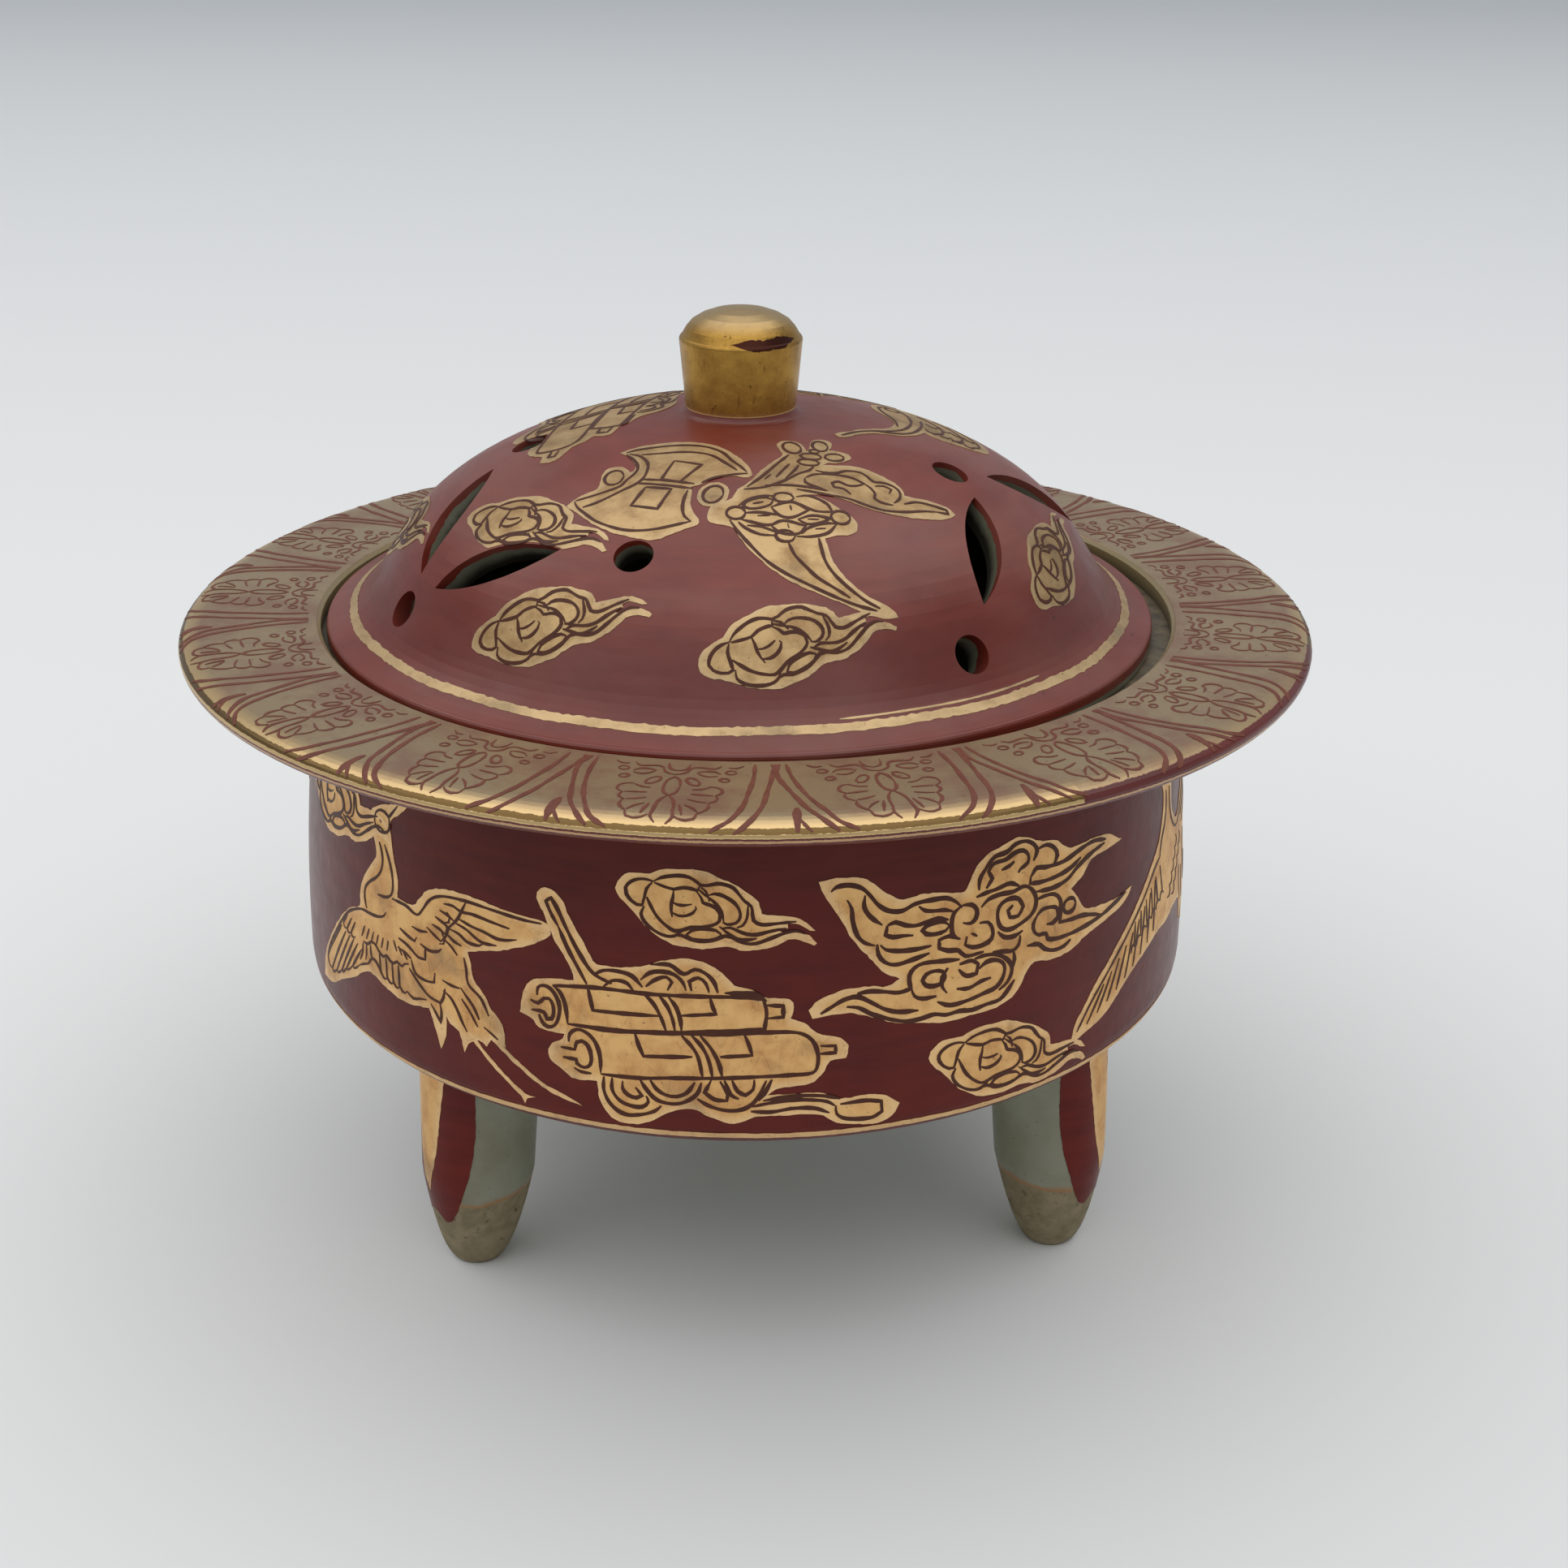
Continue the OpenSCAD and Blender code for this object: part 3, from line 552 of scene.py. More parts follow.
scrolls = {
    "middle": (-5, 42),
    "skins": [
        [(-19.2, 52.7), (-18.8, 53.7), (-17.8, 53.8), (-16.7, 53.1), (-15.8, 51.5), (-14.8, 49.9),
         (-13.7, 48.1), (-13, 47.3), (-8.9, 47.6), (-7, 48.3), (-4.8, 48.7), (-2.8, 48.3), (-1.4, 47.4),
         (-0.3, 46.3), (1.3, 45.8), (2.4, 45.1), (4.7, 44.8), (5.1, 44.1), (4.8, 42.9), (6, 42.4),
         (7.2, 41.3), (9.4, 40.6), (10.1, 39.8), (9.9, 38.6), (8.4, 38.4), (7.9, 37.4), (6.6, 36.2),
         (3.8, 35.9), (2.7, 35.2), (4.7, 35.2), (7.4, 35.2), (9.4, 34.4), (12.2, 34.5), (13.8, 34.1),
         (15.1, 33.1), (14.4, 31.9), (13, 31.3), (10.8, 31.5), (9.1, 31.9), (7.4, 32.9), (4.7, 33),
         (1.6, 32.9), (-0.3, 32.2), (-2.6, 32.9), (-4.2, 33.6), (-6.4, 33), (-8.1, 31.9), (-10.1, 31.4),
         (-11.7, 31.9), (-12.7, 33.3), (-13.1, 35.5), (-15.6, 35.4), (-16.4, 36.1), (-17.8, 37),
         (-17.7, 38.3), (-16.4, 39.3), (-16.2, 39.8), (-18.8, 39.9), (-19.4, 40.6), (-20.8, 41.1),
         (-20.6, 42.7), (-19.8, 44.4), (-17.8, 45.1), (-15.3, 45.4), (-15.5, 46.3), (-16.3, 47.7),
         (-17.1, 48.8), (-18, 50.5), (-18.4, 51.5)]],
    "lines": [
        [(-17.4, 44.5), (-13, 45), (-8, 45), (-2.3, 45.1), (1, 45.1), (2.3, 44.9), (2.6, 43.6), (2.4, 41.9),
         (0, 41.8), (-4, 41.5), (-8, 41.2), (-12, 41), (-15.9, 40.9)],
        [(-17.4, 44.5), (-16.7, 44), (-16.2, 43), (-16, 42), (-15.9, 40.9)],
        [(-19, 43.2), (-18.9, 44), (-18.3, 44.3), (-17.6, 44.1), (-17, 43.4), (-16.7, 42.5), (-16.8, 41.4),
         (-17.2, 40.5), (-17.9, 40.2), (-18.5, 40.6), (-18.8, 41.3)],
        [(-19.7, 42.6), (-18.9, 42.4), (-18.3, 43), (-17.8, 43.1), (-17.4, 42.6), (-17.3, 41.8),
         (-17.5, 41.1), (-18, 41), (-18.3, 41.6), (-19.6, 41.6)],
        [(-13.9, 44.9), (-13.4, 42.7), (-7.2, 42.9)], [(-2.5, 45), (-2.3, 44.2), (-2, 43.4), (-5.1, 43.1)],
        [(-8.6, 45), (-7.7, 44.1), (-7, 42.8), (-6.5, 41.4)],
        [(-7.2, 45), (-6.4, 43.9), (-5.9, 42.6), (-5.7, 41.5)],
        [(-6.4, 45), (-5.6, 43.9), (-5.2, 42.6), (-5.1, 41.5)],
        [(2.6, 44.3), (4.1, 44.2), (4.1, 43.1), (2.7, 43)],
        [(-1.2, 45.5), (0.4, 45.5), (1.8, 45.4), (2.6, 44.7)],
        [(-13.7, 40.8), (-10, 41), (-5, 41.3), (-1, 41.4), (3, 41.6), (5.3, 41.5), (6.4, 41), (7, 40.2),
         (7.3, 39), (7.2, 37.8), (6.8, 37.3), (5, 37.2), (2, 37.1), (-2, 36.9), (-6, 36.7), (-9, 36.4),
         (-12.7, 36.3)],
        [(-15.8, 39.1), (-15.7, 39.9), (-15, 40.5), (-14.2, 40.4), (-13.4, 39.8), (-12.9, 38.8),
         (-12.7, 37.6), (-12.7, 36.4)],
        [(-16.6, 38.4), (-15.2, 38.4), (-15, 39.2), (-14.5, 39.4), (-13.9, 39), (-13.6, 38), (-13.7, 37.1),
         (-14.3, 36.7), (-15, 37), (-15.1, 37.4), (-16.4, 37.4)],
        [(-15.3, 36.5), (-14.6, 36.2), (-13.6, 36.2)], [(-9.4, 40.9), (-9, 39.6), (-8.6, 38.7), (-4.1, 39)],
        [(0.6, 41.4), (1, 40.4), (1.3, 39.3), (-1.6, 39.1)],
        [(-5.1, 41.1), (-4.2, 40.1), (-3.6, 39), (-3.2, 37)],
        [(-4.2, 41.2), (-3.2, 40), (-2.6, 38.6), (-2.3, 37)],
        [(-3.4, 41.2), (-2.4, 39.9), (-1.7, 38.4), (-1.4, 37)],
        [(7.5, 40), (8.9, 39.9), (8.9, 39.2), (7.5, 39.2)],
        [(-16.9, 50.4), (-17.7, 51.6), (-18.2, 52.6), (-17.7, 53), (-17.1, 52.2), (-16, 50.2),
         (-14.8, 48.2), (-13.4, 46.4), (-11.6, 45.6)],
        [(-16.9, 50.4), (-15.9, 48.4), (-14.7, 46.4), (-14, 45.2)],
        [(-13.4, 46.2), (-12.4, 46.8), (-11, 46.9), (-9.7, 46.6), (-8.7, 45.6)],
        [(-12.4, 45.2), (-11.6, 45.9), (-10.8, 46), (-10.1, 45.8), (-9.6, 45.2)],
        [(-8.9, 46.3), (-8, 47.1), (-6.8, 47.3), (-5.8, 47.1), (-5, 46.4), (-4.7, 45.6)],
        [(-8.4, 45.7), (-7.6, 46.4), (-6.5, 46.8), (-6, 46.3), (-6.4, 45.5)],
        [(-8, 47.9), (-6.2, 48), (-4.9, 47.2), (-3.9, 47.7), (-3, 47.4), (-2.2, 46.6), (-1.8, 45.5)],
        [(-4.2, 45.6), (-4.4, 46.5), (-3.6, 46.9), (-2.9, 46.4), (-2.6, 45.5)],
        [(-12.4, 36.1), (-12.4, 34.6), (-11.7, 33.2), (-10.4, 32.4), (-8.8, 32.6), (-7.6, 33.1), (-7, 33.7)],
        [(-11.6, 36.1), (-11.6, 34.8), (-10.9, 33.8), (-9.9, 33.4), (-8.8, 33.4), (-8.2, 34), (-8.4, 34.6)],
        [(-10.6, 35.9), (-10.6, 35.1), (-10.1, 34.5), (-9.3, 34.3), (-8.8, 34.6), (-9.4, 35.4)],
        [(-9, 36.3), (-8.3, 35.2), (-7.4, 34.3), (-6, 34), (-4.8, 34.3), (-3.7, 35.2), (-3.3, 36.4)],
        [(-8, 36.3), (-7.4, 35.4), (-6.6, 34.9), (-5.6, 34.8), (-4.6, 35.3), (-3.9, 36.4)],
        [(-2.4, 36.7), (-3, 35.4), (-2.1, 34.7), (-1, 34.6), (-0.9, 35.2), (-1.6, 36.6)],
        [(-1.2, 36.7), (-0.6, 35.2), (0.1, 34.8)],
        [(-0.5, 36.7), (0, 35.6), (0.7, 35.2), (1.4, 35.8), (1.5, 36.8)],
        [(-3.7, 34.7), (-2.6, 34), (-1.2, 33.6), (0, 33.6), (1, 34), (1.8, 34.9), (2.6, 36.7)],
        [(1.9, 34.6), (2.4, 35.3), (3.1, 36.8)], [(2.3, 34.6), (4, 34.9), (6, 35), (8, 34.8), (9.4, 34.4)],
        [(1.3, 34), (3.2, 34.4), (5, 34.6), (6.6, 34.5), (8.2, 34.2), (8.9, 33.7)],
        [(1.2, 33.5), (3, 33.4), (5, 33.7), (7, 33.6), (8.4, 33)],
        [(9, 33.7), (9.1, 32.8), (10, 32.2), (12.4, 32), (13.4, 32.5), (13.3, 33.6), (11.8, 33.9),
         (9.4, 33.8)]],
}

cloud_bank = {
    "middle": (25, 49),
    "skins": [
        [(7.4, 55.9), (8.5, 56.1), (10.5, 56.1), (11.9, 55.8), (13, 54.9), (14.2, 54), (15, 53.5),
         (17.5, 53.7), (20, 53.4), (21.6, 53.2), (22.3, 54.2), (23, 55.3), (24.2, 56.2), (26, 56.7),
         (28, 57.1), (29.2, 56.7), (30.5, 56.1), (32.5, 55.7), (33.9, 54.7), (34.8, 54.3), (37.5, 54.3),
         (40.5, 53.9), (42.8, 52.7), (40, 52.5), (37.6, 52.3), (36.3, 51.2), (34.5, 50.3), (35.4, 49.1),
         (36.2, 47.9), (37, 47.5), (39, 47.2), (42, 47), (44.6, 47.2), (43.4, 46.2), (41.5, 45.7),
         (38.4, 45.2), (36.3, 44.8), (34.8, 44.2), (32, 43.9), (29.5, 44.3), (28.6, 43.7), (27.8, 42.4),
         (26.9, 41.5), (25, 40.9), (22.5, 40.8), (19.5, 40.7), (17, 41.1), (15, 41.4), (13, 42.1),
         (11.5, 42.7), (9.8, 43.1), (6.8, 42.8), (6.4, 43.6), (7.4, 44.6), (9.7, 45.4), (12, 45.5),
         (13.8, 45.3), (15, 45.9), (13.6, 46.5), (12.6, 47.6), (11.3, 49.2), (10.2, 50.6), (9.6, 51.9),
         (8.6, 53.4), (7.8, 54.7)]],
    "lines": [
        [(8.5, 54.9), (9, 55.3), (10.2, 55.4), (11.4, 55), (12.2, 54.2), (12.9, 53.3), (13.9, 52.6),
         (15.2, 52.4), (16.6, 52.9), (18.3, 53), (19.8, 52.9), (20.8, 52.3), (21.3, 51.7)],
        [(10, 54), (10.4, 53.2), (10.5, 52), (10.9, 50.6), (11.6, 49.8), (12.6, 49.4)],
        [(11.7, 54.3), (11.6, 53.2), (12.2, 52.2), (13.3, 51.3)],
        [(12.8, 49.5), (12.9, 48.5), (13.5, 47.7), (14.5, 47.3), (16, 47.5), (17.9, 47.9)],
        [(13.1, 49.4), (13.6, 48.9), (14.8, 48.6), (16.5, 48.5), (18.1, 48.6)],
        [(13.8, 51.2), (13.6, 50.3), (14.3, 50), (15.3, 50), (16.3, 49.9)],
        [(13.8, 51.2), (14.6, 51.4), (15.5, 51), (16.6, 50.8), (17.8, 51), (18.8, 51.1), (19.9, 50.8)],
        [(16.9, 52.6), (17.5, 52.1), (18.5, 51.9), (19.6, 51.8), (20.4, 51.5)], oval(18.6, 50.2, 1.4, 0.55),
        [(21.3, 51.9), (20.4, 51.2), (20.2, 49.9), (20.4, 49.1), (21.1, 48.7)],
        [(21.3, 51.9), (22.3, 51.8), (22.9, 51.2), (22.8, 50.4), (22.2, 50), (21.4, 50.2)],
        [(21, 48.7), (19.9, 49.2), (18.9, 49), (18.9, 48.2), (19.8, 47.8), (20.9, 47.6), (21.6, 46.9),
         (23.6, 46.9)],
        [(21.8, 48.8), (21.6, 48), (22.4, 47.6), (23.6, 47.6), (24.5, 48), (24.6, 48.9), (24.1, 49.7),
         (23.2, 49.8)],
        [(22.3, 49), (22.9, 48.6)],
        [(23.4, 51.3), (24.2, 51.9), (25.6, 52.1), (27, 52), (28.5, 52.2), (29.5, 51.4), (29.8, 50.3),
         (29.3, 49.3), (28, 48.7), (26.6, 48.4), (25.6, 48.8), (25.2, 49.8), (25.4, 50.9), (26.4, 51.4),
         (27.6, 51.2), (28.2, 50.3), (27.6, 49.5), (26.6, 49.6), (26.4, 50.3), (27, 50.7)],
        [(25.2, 48.5), (25.9, 47.8), (27.1, 47.6), (28.1, 47.9)],
        [(24.6, 46.6), (25.8, 46.4), (26.9, 46.2), (27.6, 46.6), (27.8, 47.5)],
        [(22.9, 52.4), (24, 52.6), (25.2, 52.7), (26.7, 52.9), (27.8, 52.4)],
        [(29.9, 48.9), (30.5, 49.3), (31.5, 49.3), (32.5, 48.9), (32.6, 48), (31.9, 47.6), (31.1, 47.7)],
        [(29.9, 48.9), (29.4, 48.2), (29.5, 47.4), (30.1, 46.9), (31, 46.8), (31.2, 46.2), (32.2, 45.9),
         (33.5, 45.8), (35.2, 45.8), (38.9, 46.1), (41.4, 46.6), (43.4, 47)],
        [(29.9, 50.5), (31, 50.6), (32.2, 50.4), (32.9, 49.7), (33, 48.6), (32.8, 47.4), (34.5, 47.2),
         (36, 47.1), (37.5, 46.7), (39, 46.2)],
        oval(34.2, 48.7, 0.9, 0.7),
        [(28.6, 46.2), (30, 46), (30.8, 45.3), (32, 44.8), (33.4, 44.8), (34.3, 45.2)],
        [(24, 53), (24.7, 53.8), (24.3, 54.6), (24.9, 55.2), (26.3, 55.3), (27.4, 55.7), (28.4, 55.7),
         (29, 55.1), (28.9, 54.4), (28, 54), (27.7, 53.7)],
        [(23.2, 53), (23.3, 54), (24, 54.9), (25, 55.8), (26.5, 56), (27.5, 56.5), (28.8, 56.5),
         (29.8, 55.9), (30.1, 55.2), (29.6, 54.4)],
        [(25.8, 54.4), (26.7, 54.6), (27.3, 54.9)],
        [(30.2, 55.4), (31.4, 55.5), (32.4, 54.9), (32.7, 54.1), (32.1, 53.3)],
        [(29.2, 52.9), (29.1, 52.3), (30.4, 52.1), (32.5, 52.1), (34.5, 52.4), (36, 53)],
        [(29.2, 52.9), (30, 53.6), (31, 53.4), (33.5, 53.3), (36, 53.8), (38, 54), (40, 53.6)],
        [(29.8, 51.3), (32, 51.1), (34, 51.4), (35.5, 52.2), (37.5, 52.9), (39.8, 53.3)],
        [(10.9, 44.9), (12.1, 45), (13.4, 44.8), (14.9, 44.5), (16, 44.7), (15.9, 46), (16.4, 46.7),
         (17.3, 47), (19, 46.9), (21, 46.7)],
        [(16.1, 44.7), (16.4, 43.9), (17.2, 43.5), (18.6, 43.5)], oval(18.4, 45.3, 1.2, 0.75),
        [(19.8, 46.1), (19.2, 45.3), (19.2, 44.3), (19.7, 43.6)],
        [(18.7, 42.9), (20, 42.3), (22, 42.4), (23.6, 42.7), (25, 43), (25.8, 43.9), (25.9, 45),
         (25.1, 45.7), (23.9, 45.8), (23.1, 45.3)],
        [(20.9, 45.7), (21.7, 44.9), (22.8, 44.9), (23, 45.8), (22.3, 46.3), (21, 46.2)],
        [(20.7, 43.8), (22, 43.6), (23.3, 44), (24.4, 44.1)],
        [(22.6, 46.4), (23.8, 46.5), (25.2, 46.2), (26.4, 45.3), (26.8, 44.3), (26.3, 43.2), (25.3, 42.6)],
        [(27, 46.1), (27.1, 45.3), (26.8, 44.3)],
        [(7.5, 43.2), (8.5, 43.8), (9.6, 44.4), (10.9, 44.6), (12.2, 43.9), (13.4, 43.1), (14.7, 42.6),
         (16.8, 42.4)],
        [(9.9, 43.7), (11, 43.5), (12.3, 42.7), (13.9, 42), (15.6, 41.5), (17, 41.5), (18.4, 41.7),
         (19.6, 41.4), (21, 41.5), (22.3, 41.3), (24, 41.5), (25.4, 41.6), (26.2, 42.2), (27.1, 43.2)]],
}

rising_crane = {
    "middle": (54, 45),
    "skins": [
        [(34.7, 33.9), (35.2, 35.8), (36.6, 37.4), (38, 39), (39.8, 40.4), (42.8, 42.7), (46, 45),
         (49, 47.3), (51.5, 49.3), (52.8, 51.3), (53.5, 53.4), (53.2, 54.8), (53.6, 56.2), (54.8, 57),
         (56.4, 57.2), (59.2, 58.4), (57.6, 56.6), (56.6, 55.4), (56.6, 53.6), (56.3, 51.6), (57, 50),
         (58.5, 49.2), (60.5, 50.2), (63, 51.8), (66.5, 52.8), (70.5, 52.9), (74.5, 52.2), (72, 50.6),
         (69, 49.2), (66, 48), (63.8, 46.8), (64.2, 44.6), (65.6, 42.2), (67.3, 39.8), (68.4, 37.2),
         (66.8, 37.9), (65.9, 36.2), (64.6, 37.6), (63.4, 35.4), (62.4, 37.8), (61, 36.6), (60.2, 39.2),
         (57.5, 40), (54, 39.6), (51, 39.6), (48, 38.9), (44.2, 37.6), (39.8, 35.2)],
        [(63.9, 38.4), (66.6, 35), (69.4, 32.6), (69.8, 31.8), (70.1, 32.3), (71, 32.4), (70, 32.9),
         (67, 35.4), (64.4, 38.6)]],
    "lines": [
        [(54.1, 54.4), (54.2, 55.6), (55, 56.3), (56, 56.2), (56.4, 55.5), (55.9, 54.6), (55, 54.3),
         (54.1, 54.4)],
        [(56, 56.2), (57.2, 56.7), (58.2, 57.4)], [(55, 55.5), (55.3, 55.3)],
        [(54.4, 53.6), (54.2, 52), (53.4, 50.4), (52.2, 49), (51.6, 47.6)],
        [(55.7, 53.6), (55.5, 51.6), (56.1, 49.9), (57.4, 48.6), (58.6, 48.4)],
        [(35.5, 34.9), (37.6, 37.4), (40.4, 39.8), (43.6, 42.2), (47, 44.6), (50.2, 46.9), (51.8, 47.6)],
        [(58.8, 48.4), (60.8, 49.4), (63.2, 50.9), (66.6, 51.9), (70.5, 52)],
        [(61, 48.4), (64, 49.8), (68, 50.9)], [(61.6, 47.4), (65, 48.6), (68.6, 50)],
        [(63, 46.2), (62.6, 43.8), (63.6, 41.4), (64.9, 39.4)], [(61.4, 42.6), (61.9, 40.4), (63, 38.2)],
        [(59.8, 43.2), (60, 41), (61, 38.8)], [(64.4, 43), (65.6, 40.9), (66.8, 38.9)],
        *quills([(39.6, 38.6), (50.2, 45.6)], [(37, 35.2), (49.8, 40.2)], 9),
        *quills([(45.4, 43), (51.6, 46.6)], [(45.2, 40.4), (52.4, 43.4)], 6),
        *scallops((52.8, 43.2), (44.6, 39.9), 7, -0.5), *scallops((60, 47), (56, 41.6), 5, 0.6),
        *scallops((58, 47.4), (54.2, 42), 5, 0.6)],
}

wall_gold, wall_brush = new_sheet(), new_sheet()
for drawing, width, where in (
        (crane, 0.28, {}),
        (scrolls, 0.38, {"lift": OVER_FILM}),
        (cloud, 0.32, {"shift": (-2.9, 53.6)}),
        (cloud, 0.32, {"shift": (26.6, 35.7), "turn": -2, "size": 1.04}),
        (cloud_bank, 0.42, {}),
        (rising_crane, 0.28, {}),
        (cloud, 0.32, {"shift": (-48.9, 53.8), "turn": 14, "size": 1.05, "lift": OVER_FILM}),
        (cloud_bank, 0.42, {"shift": (75, -0.6), "size": 0.97}),
        (cloud, 0.32, {"shift": (83, 34.4), "turn": 2}),
        (scrolls, 0.38, {"shift": (141, 0.2), "size": 0.98}),
        (cloud, 0.32, {"shift": (143, 53.4), "turn": 4, "size": 0.94}),
        (cloud, 0.32, {"shift": (164, 50.4), "turn": 6}),
        (crane, 0.28, {"shift": (218, -0.4), "size": 0.98}),
        (cloud, 0.32, {"shift": (203, 40)}),
        (cloud, 0.32, {"shift": (218, 52.2), "turn": 8})):
    paint(wall_gold, wall_brush, drawing, on_wall, width, **where)


def matt_gilding(name, body, under, rubbed, metallic):
    """A worn matt gilding: blotches of thin gold, a paler rubbed edge, lost flakes and fine crackle."""
    material, tree, mm = start_finish(name)
    inset = add(tree, "Attribute", attribute_name="inset", attribute_type="GEOMETRY").outputs["Fac"]
    broad = add(tree, "TexNoise", {"Vector": mm, "Scale": 0.13, "Detail": 3.0, "Roughness": 0.6})
    patchy = add(tree, "TexNoise", {"Vector": mm, "Scale": 0.45, "Detail": 5.0, "Roughness": 0.65})
    both = add(tree, "Math", {0: broad, 1: patchy}, operation="ADD")
    thin = add(tree, "MapRange", {0: both, "From Min": 0.86, "From Max": 1.2})
    tone = add(tree, "Mix", {0: thin, 6: body, 7: under})
    worn = add(tree, "MapRange", {0: inset, "From Min": 0.1, "From Max": 0.9, "To Min": 0.42,
                                  "To Max": 0.0})
    tone = add(tree, "Mix", {0: worn, 6: tone, 7: rubbed})
    tarnish = add(tree, "MapRange", {0: broad, "From Min": 0.56, "From Max": 0.68, "To Max": 0.45})
    tone = add(tree, "Mix", {0: tarnish, 6: tone, 7: "#8d7a5e"})
    tone, grit = flecked(tree, mm, tone, "#5a3021", 1.9, 4.0, 0.64, 0.7, 0.7, roughness=0.75)
    squeezed = add(tree, "VectorMath", {0: mm, 1: (1.0, 1.0, 0.45)}, operation="MULTIPLY")
    crackle = add(tree, "TexVoronoi", {"Vector": squeezed, "Scale": 0.75}, feature="DISTANCE_TO_EDGE")
    hairline = add(tree, "MapRange", {0: crackle.outputs["Distance"], "From Min": 0.004, "From Max": 0.03,
                                      "To Min": 0.3, "To Max": 0.0})
    faded = add(tree, "Math", {0: hairline, 1: thin}, operation="MULTIPLY")
    tone = add(tree, "Mix", {0: faded, 6: tone, 7: "#6b4426"})
    end_finish(tree, tone, (patchy, 0.36, 0.58), grit, 0.03, Metallic=metallic, IOR=1.5)
    return material


gilding = matt_gilding("matt_burnished_gilding", GOLD_BODY, GOLD_UNDER, GOLD_RUBBED, 0.72)

material, tree, mm = start_finish("iron_brown_brush_line")
flow = add(tree, "TexNoise", {"Vector": mm, "Scale": 0.8, "Detail": 2.0})
colour = add(tree, "Mix", {0: flow, 6: BRUSH_BROWN, 7: "#57301f"})
end_finish(tree, colour, (flow, 0.35, 0.5), flow, 0.01, **SOFT_SHEEN)
brush_line = material

make_piece("drum_gilding", wall_gold, gilding, "burner_base")
make_piece("drum_brush_lines", wall_brush, brush_line, "burner_base")


# The drum's base line: one narrow band of the same gold, drawn with the bowl turning on a banding wheel
# just above the corner, so it is even in width but a little rough along both edges.
BASE_LINE_Z = (30.35, 31.0)


def lay_band(sheet, surface, around, low, high, rough, step, rows):
    """Adds a closed ring-shaped film. Around is its length as drawn, from low to high across."""
    count = round(around / step)
    hand = random.Random(round(low * 100))
    wander = [hand.uniform(0, 6.28) for _ in range(6)]
    first = len(sheet["points"])
    u = np.arange(count) * around / count
    turn = u / around * 2 * math.pi
    slow = rough * 0.6 * (np.sin(5 * turn + wander[0]) + np.sin(17 * turn + wander[1]))
    jitter = np.array([[hand.uniform(-rough, rough) for _ in range(2)] for _ in range(count)])
    bottom, top = low + slow + jitter[:, 0], high + slow + jitter[:, 1]
    levels = [(bottom + (top - bottom) * k / rows, GOLD_FILM) for k in range(rows + 1)]
    levels += [(bottom + (top - bottom) * k / rows, -FILM_ROOT) for k in range(rows, -1, -1)]
    for v, height in levels:
        sheet["points"] += list(surface(np.stack([u, v], 1), height))
        sheet["inset"] += list(np.minimum(v - bottom, top - v))
    for a in range(len(levels)):
        b = (a + 1) % len(levels)
        for k in range(count):
            n = (k + 1) % count
            sheet["faces"].append((first + a * count + k, first + a * count + n,
                                   first + b * count + n, first + b * count + k))


base_gold = new_sheet()
lay_band(base_gold, on_wall, 2 * math.pi * WALL_U_R, *BASE_LINE_Z, rough=0.05, step=0.6, rows=2)
make_piece("drum_base_line", base_gold, gilding, "burner_base")


# The broad rim flange, thrown as part of the drum. Gold covers its top and half of its rolled lip; a fine
# gold line and red enamel follow below. The gold is painted paler as a highlight where the top falls to the
# lip, and a dark olive band of painted reflection runs round the lip. Thin gold runs over the edge of the
# mouth, above glaze stained brown by smoke.
RIM_ROLL_Z = 66.0
GOLD_END_Z = 65.9
WORN_END_Z = 66.7  # where the lip is rubbed bare, front right
WORN_MIDDLE, WORN_HALF = 0.96, 0.42  # azimuth, radians
LIP_LINE_Z, LIP_LINE_HALF = 65.56, 0.13
LIP_EDGE_Z, LIP_EDGE_HALF = 66.45, 0.2
LIP_R = 57.2
RIM_HIGHLIGHT_R = (55.8, 57.3)  # where the top falls to the lip, the gold is painted paler and more metallic as a highlight
MOUTH_R = 44.2
MOUTH_STAIN_Z = (65.3, 66.6)
RIM_GOLD = "#a38c6b"
RIM_GOLD_THIN = "#94735b"
RIM_LINE_GOLD = "#bd9468"
OLIVE_GOLD = "#8a7a55"
STAINED_GLAZE = "#40331f"

material, tree, mm = start_finish("gilded_rim_over_red_enamel")
radius, azimuth, height = about_axis(tree, mm)
gold, patchy = mottled(tree, mm, RIM_GOLD, RIM_GOLD_THIN, 0.13, 5.0, 0.44, 0.62, roughness=0.65)
worn_gold, grit = flecked(tree, mm, gold, "#5f3529", 1.6, 4.0, 0.64, 0.7, 0.7, roughness=0.75)
red = brushed_enamel(tree, mm, ENAMEL_DEEP, ENAMEL_WARM)
wobble = add(tree, "MapRange", {0: grit, "To Min": -0.12, "To Max": 0.12})
rubbed_side = add(tree, "Math", {0: azimuth, 1: WORN_MIDDLE, 2: WORN_HALF}, operation="COMPARE")
gold_ends = add(tree, "MapRange", {0: rubbed_side, "To Min": GOLD_END_Z, "To Max": WORN_END_Z})
level = add(tree, "Math", {0: height, 1: wobble}, operation="ADD")
gilded = add(tree, "Math", {0: level, 1: gold_ends}, operation="GREATER_THAN")
line = add(tree, "Math", {0: level, 1: LIP_LINE_Z, 2: LIP_LINE_HALF}, operation="COMPARE")
outer = add(tree, "Math", {0: radius, 1: LIP_R}, operation="GREATER_THAN")
line_here = add(tree, "Math", {0: line, 1: outer}, operation="MULTIPLY")
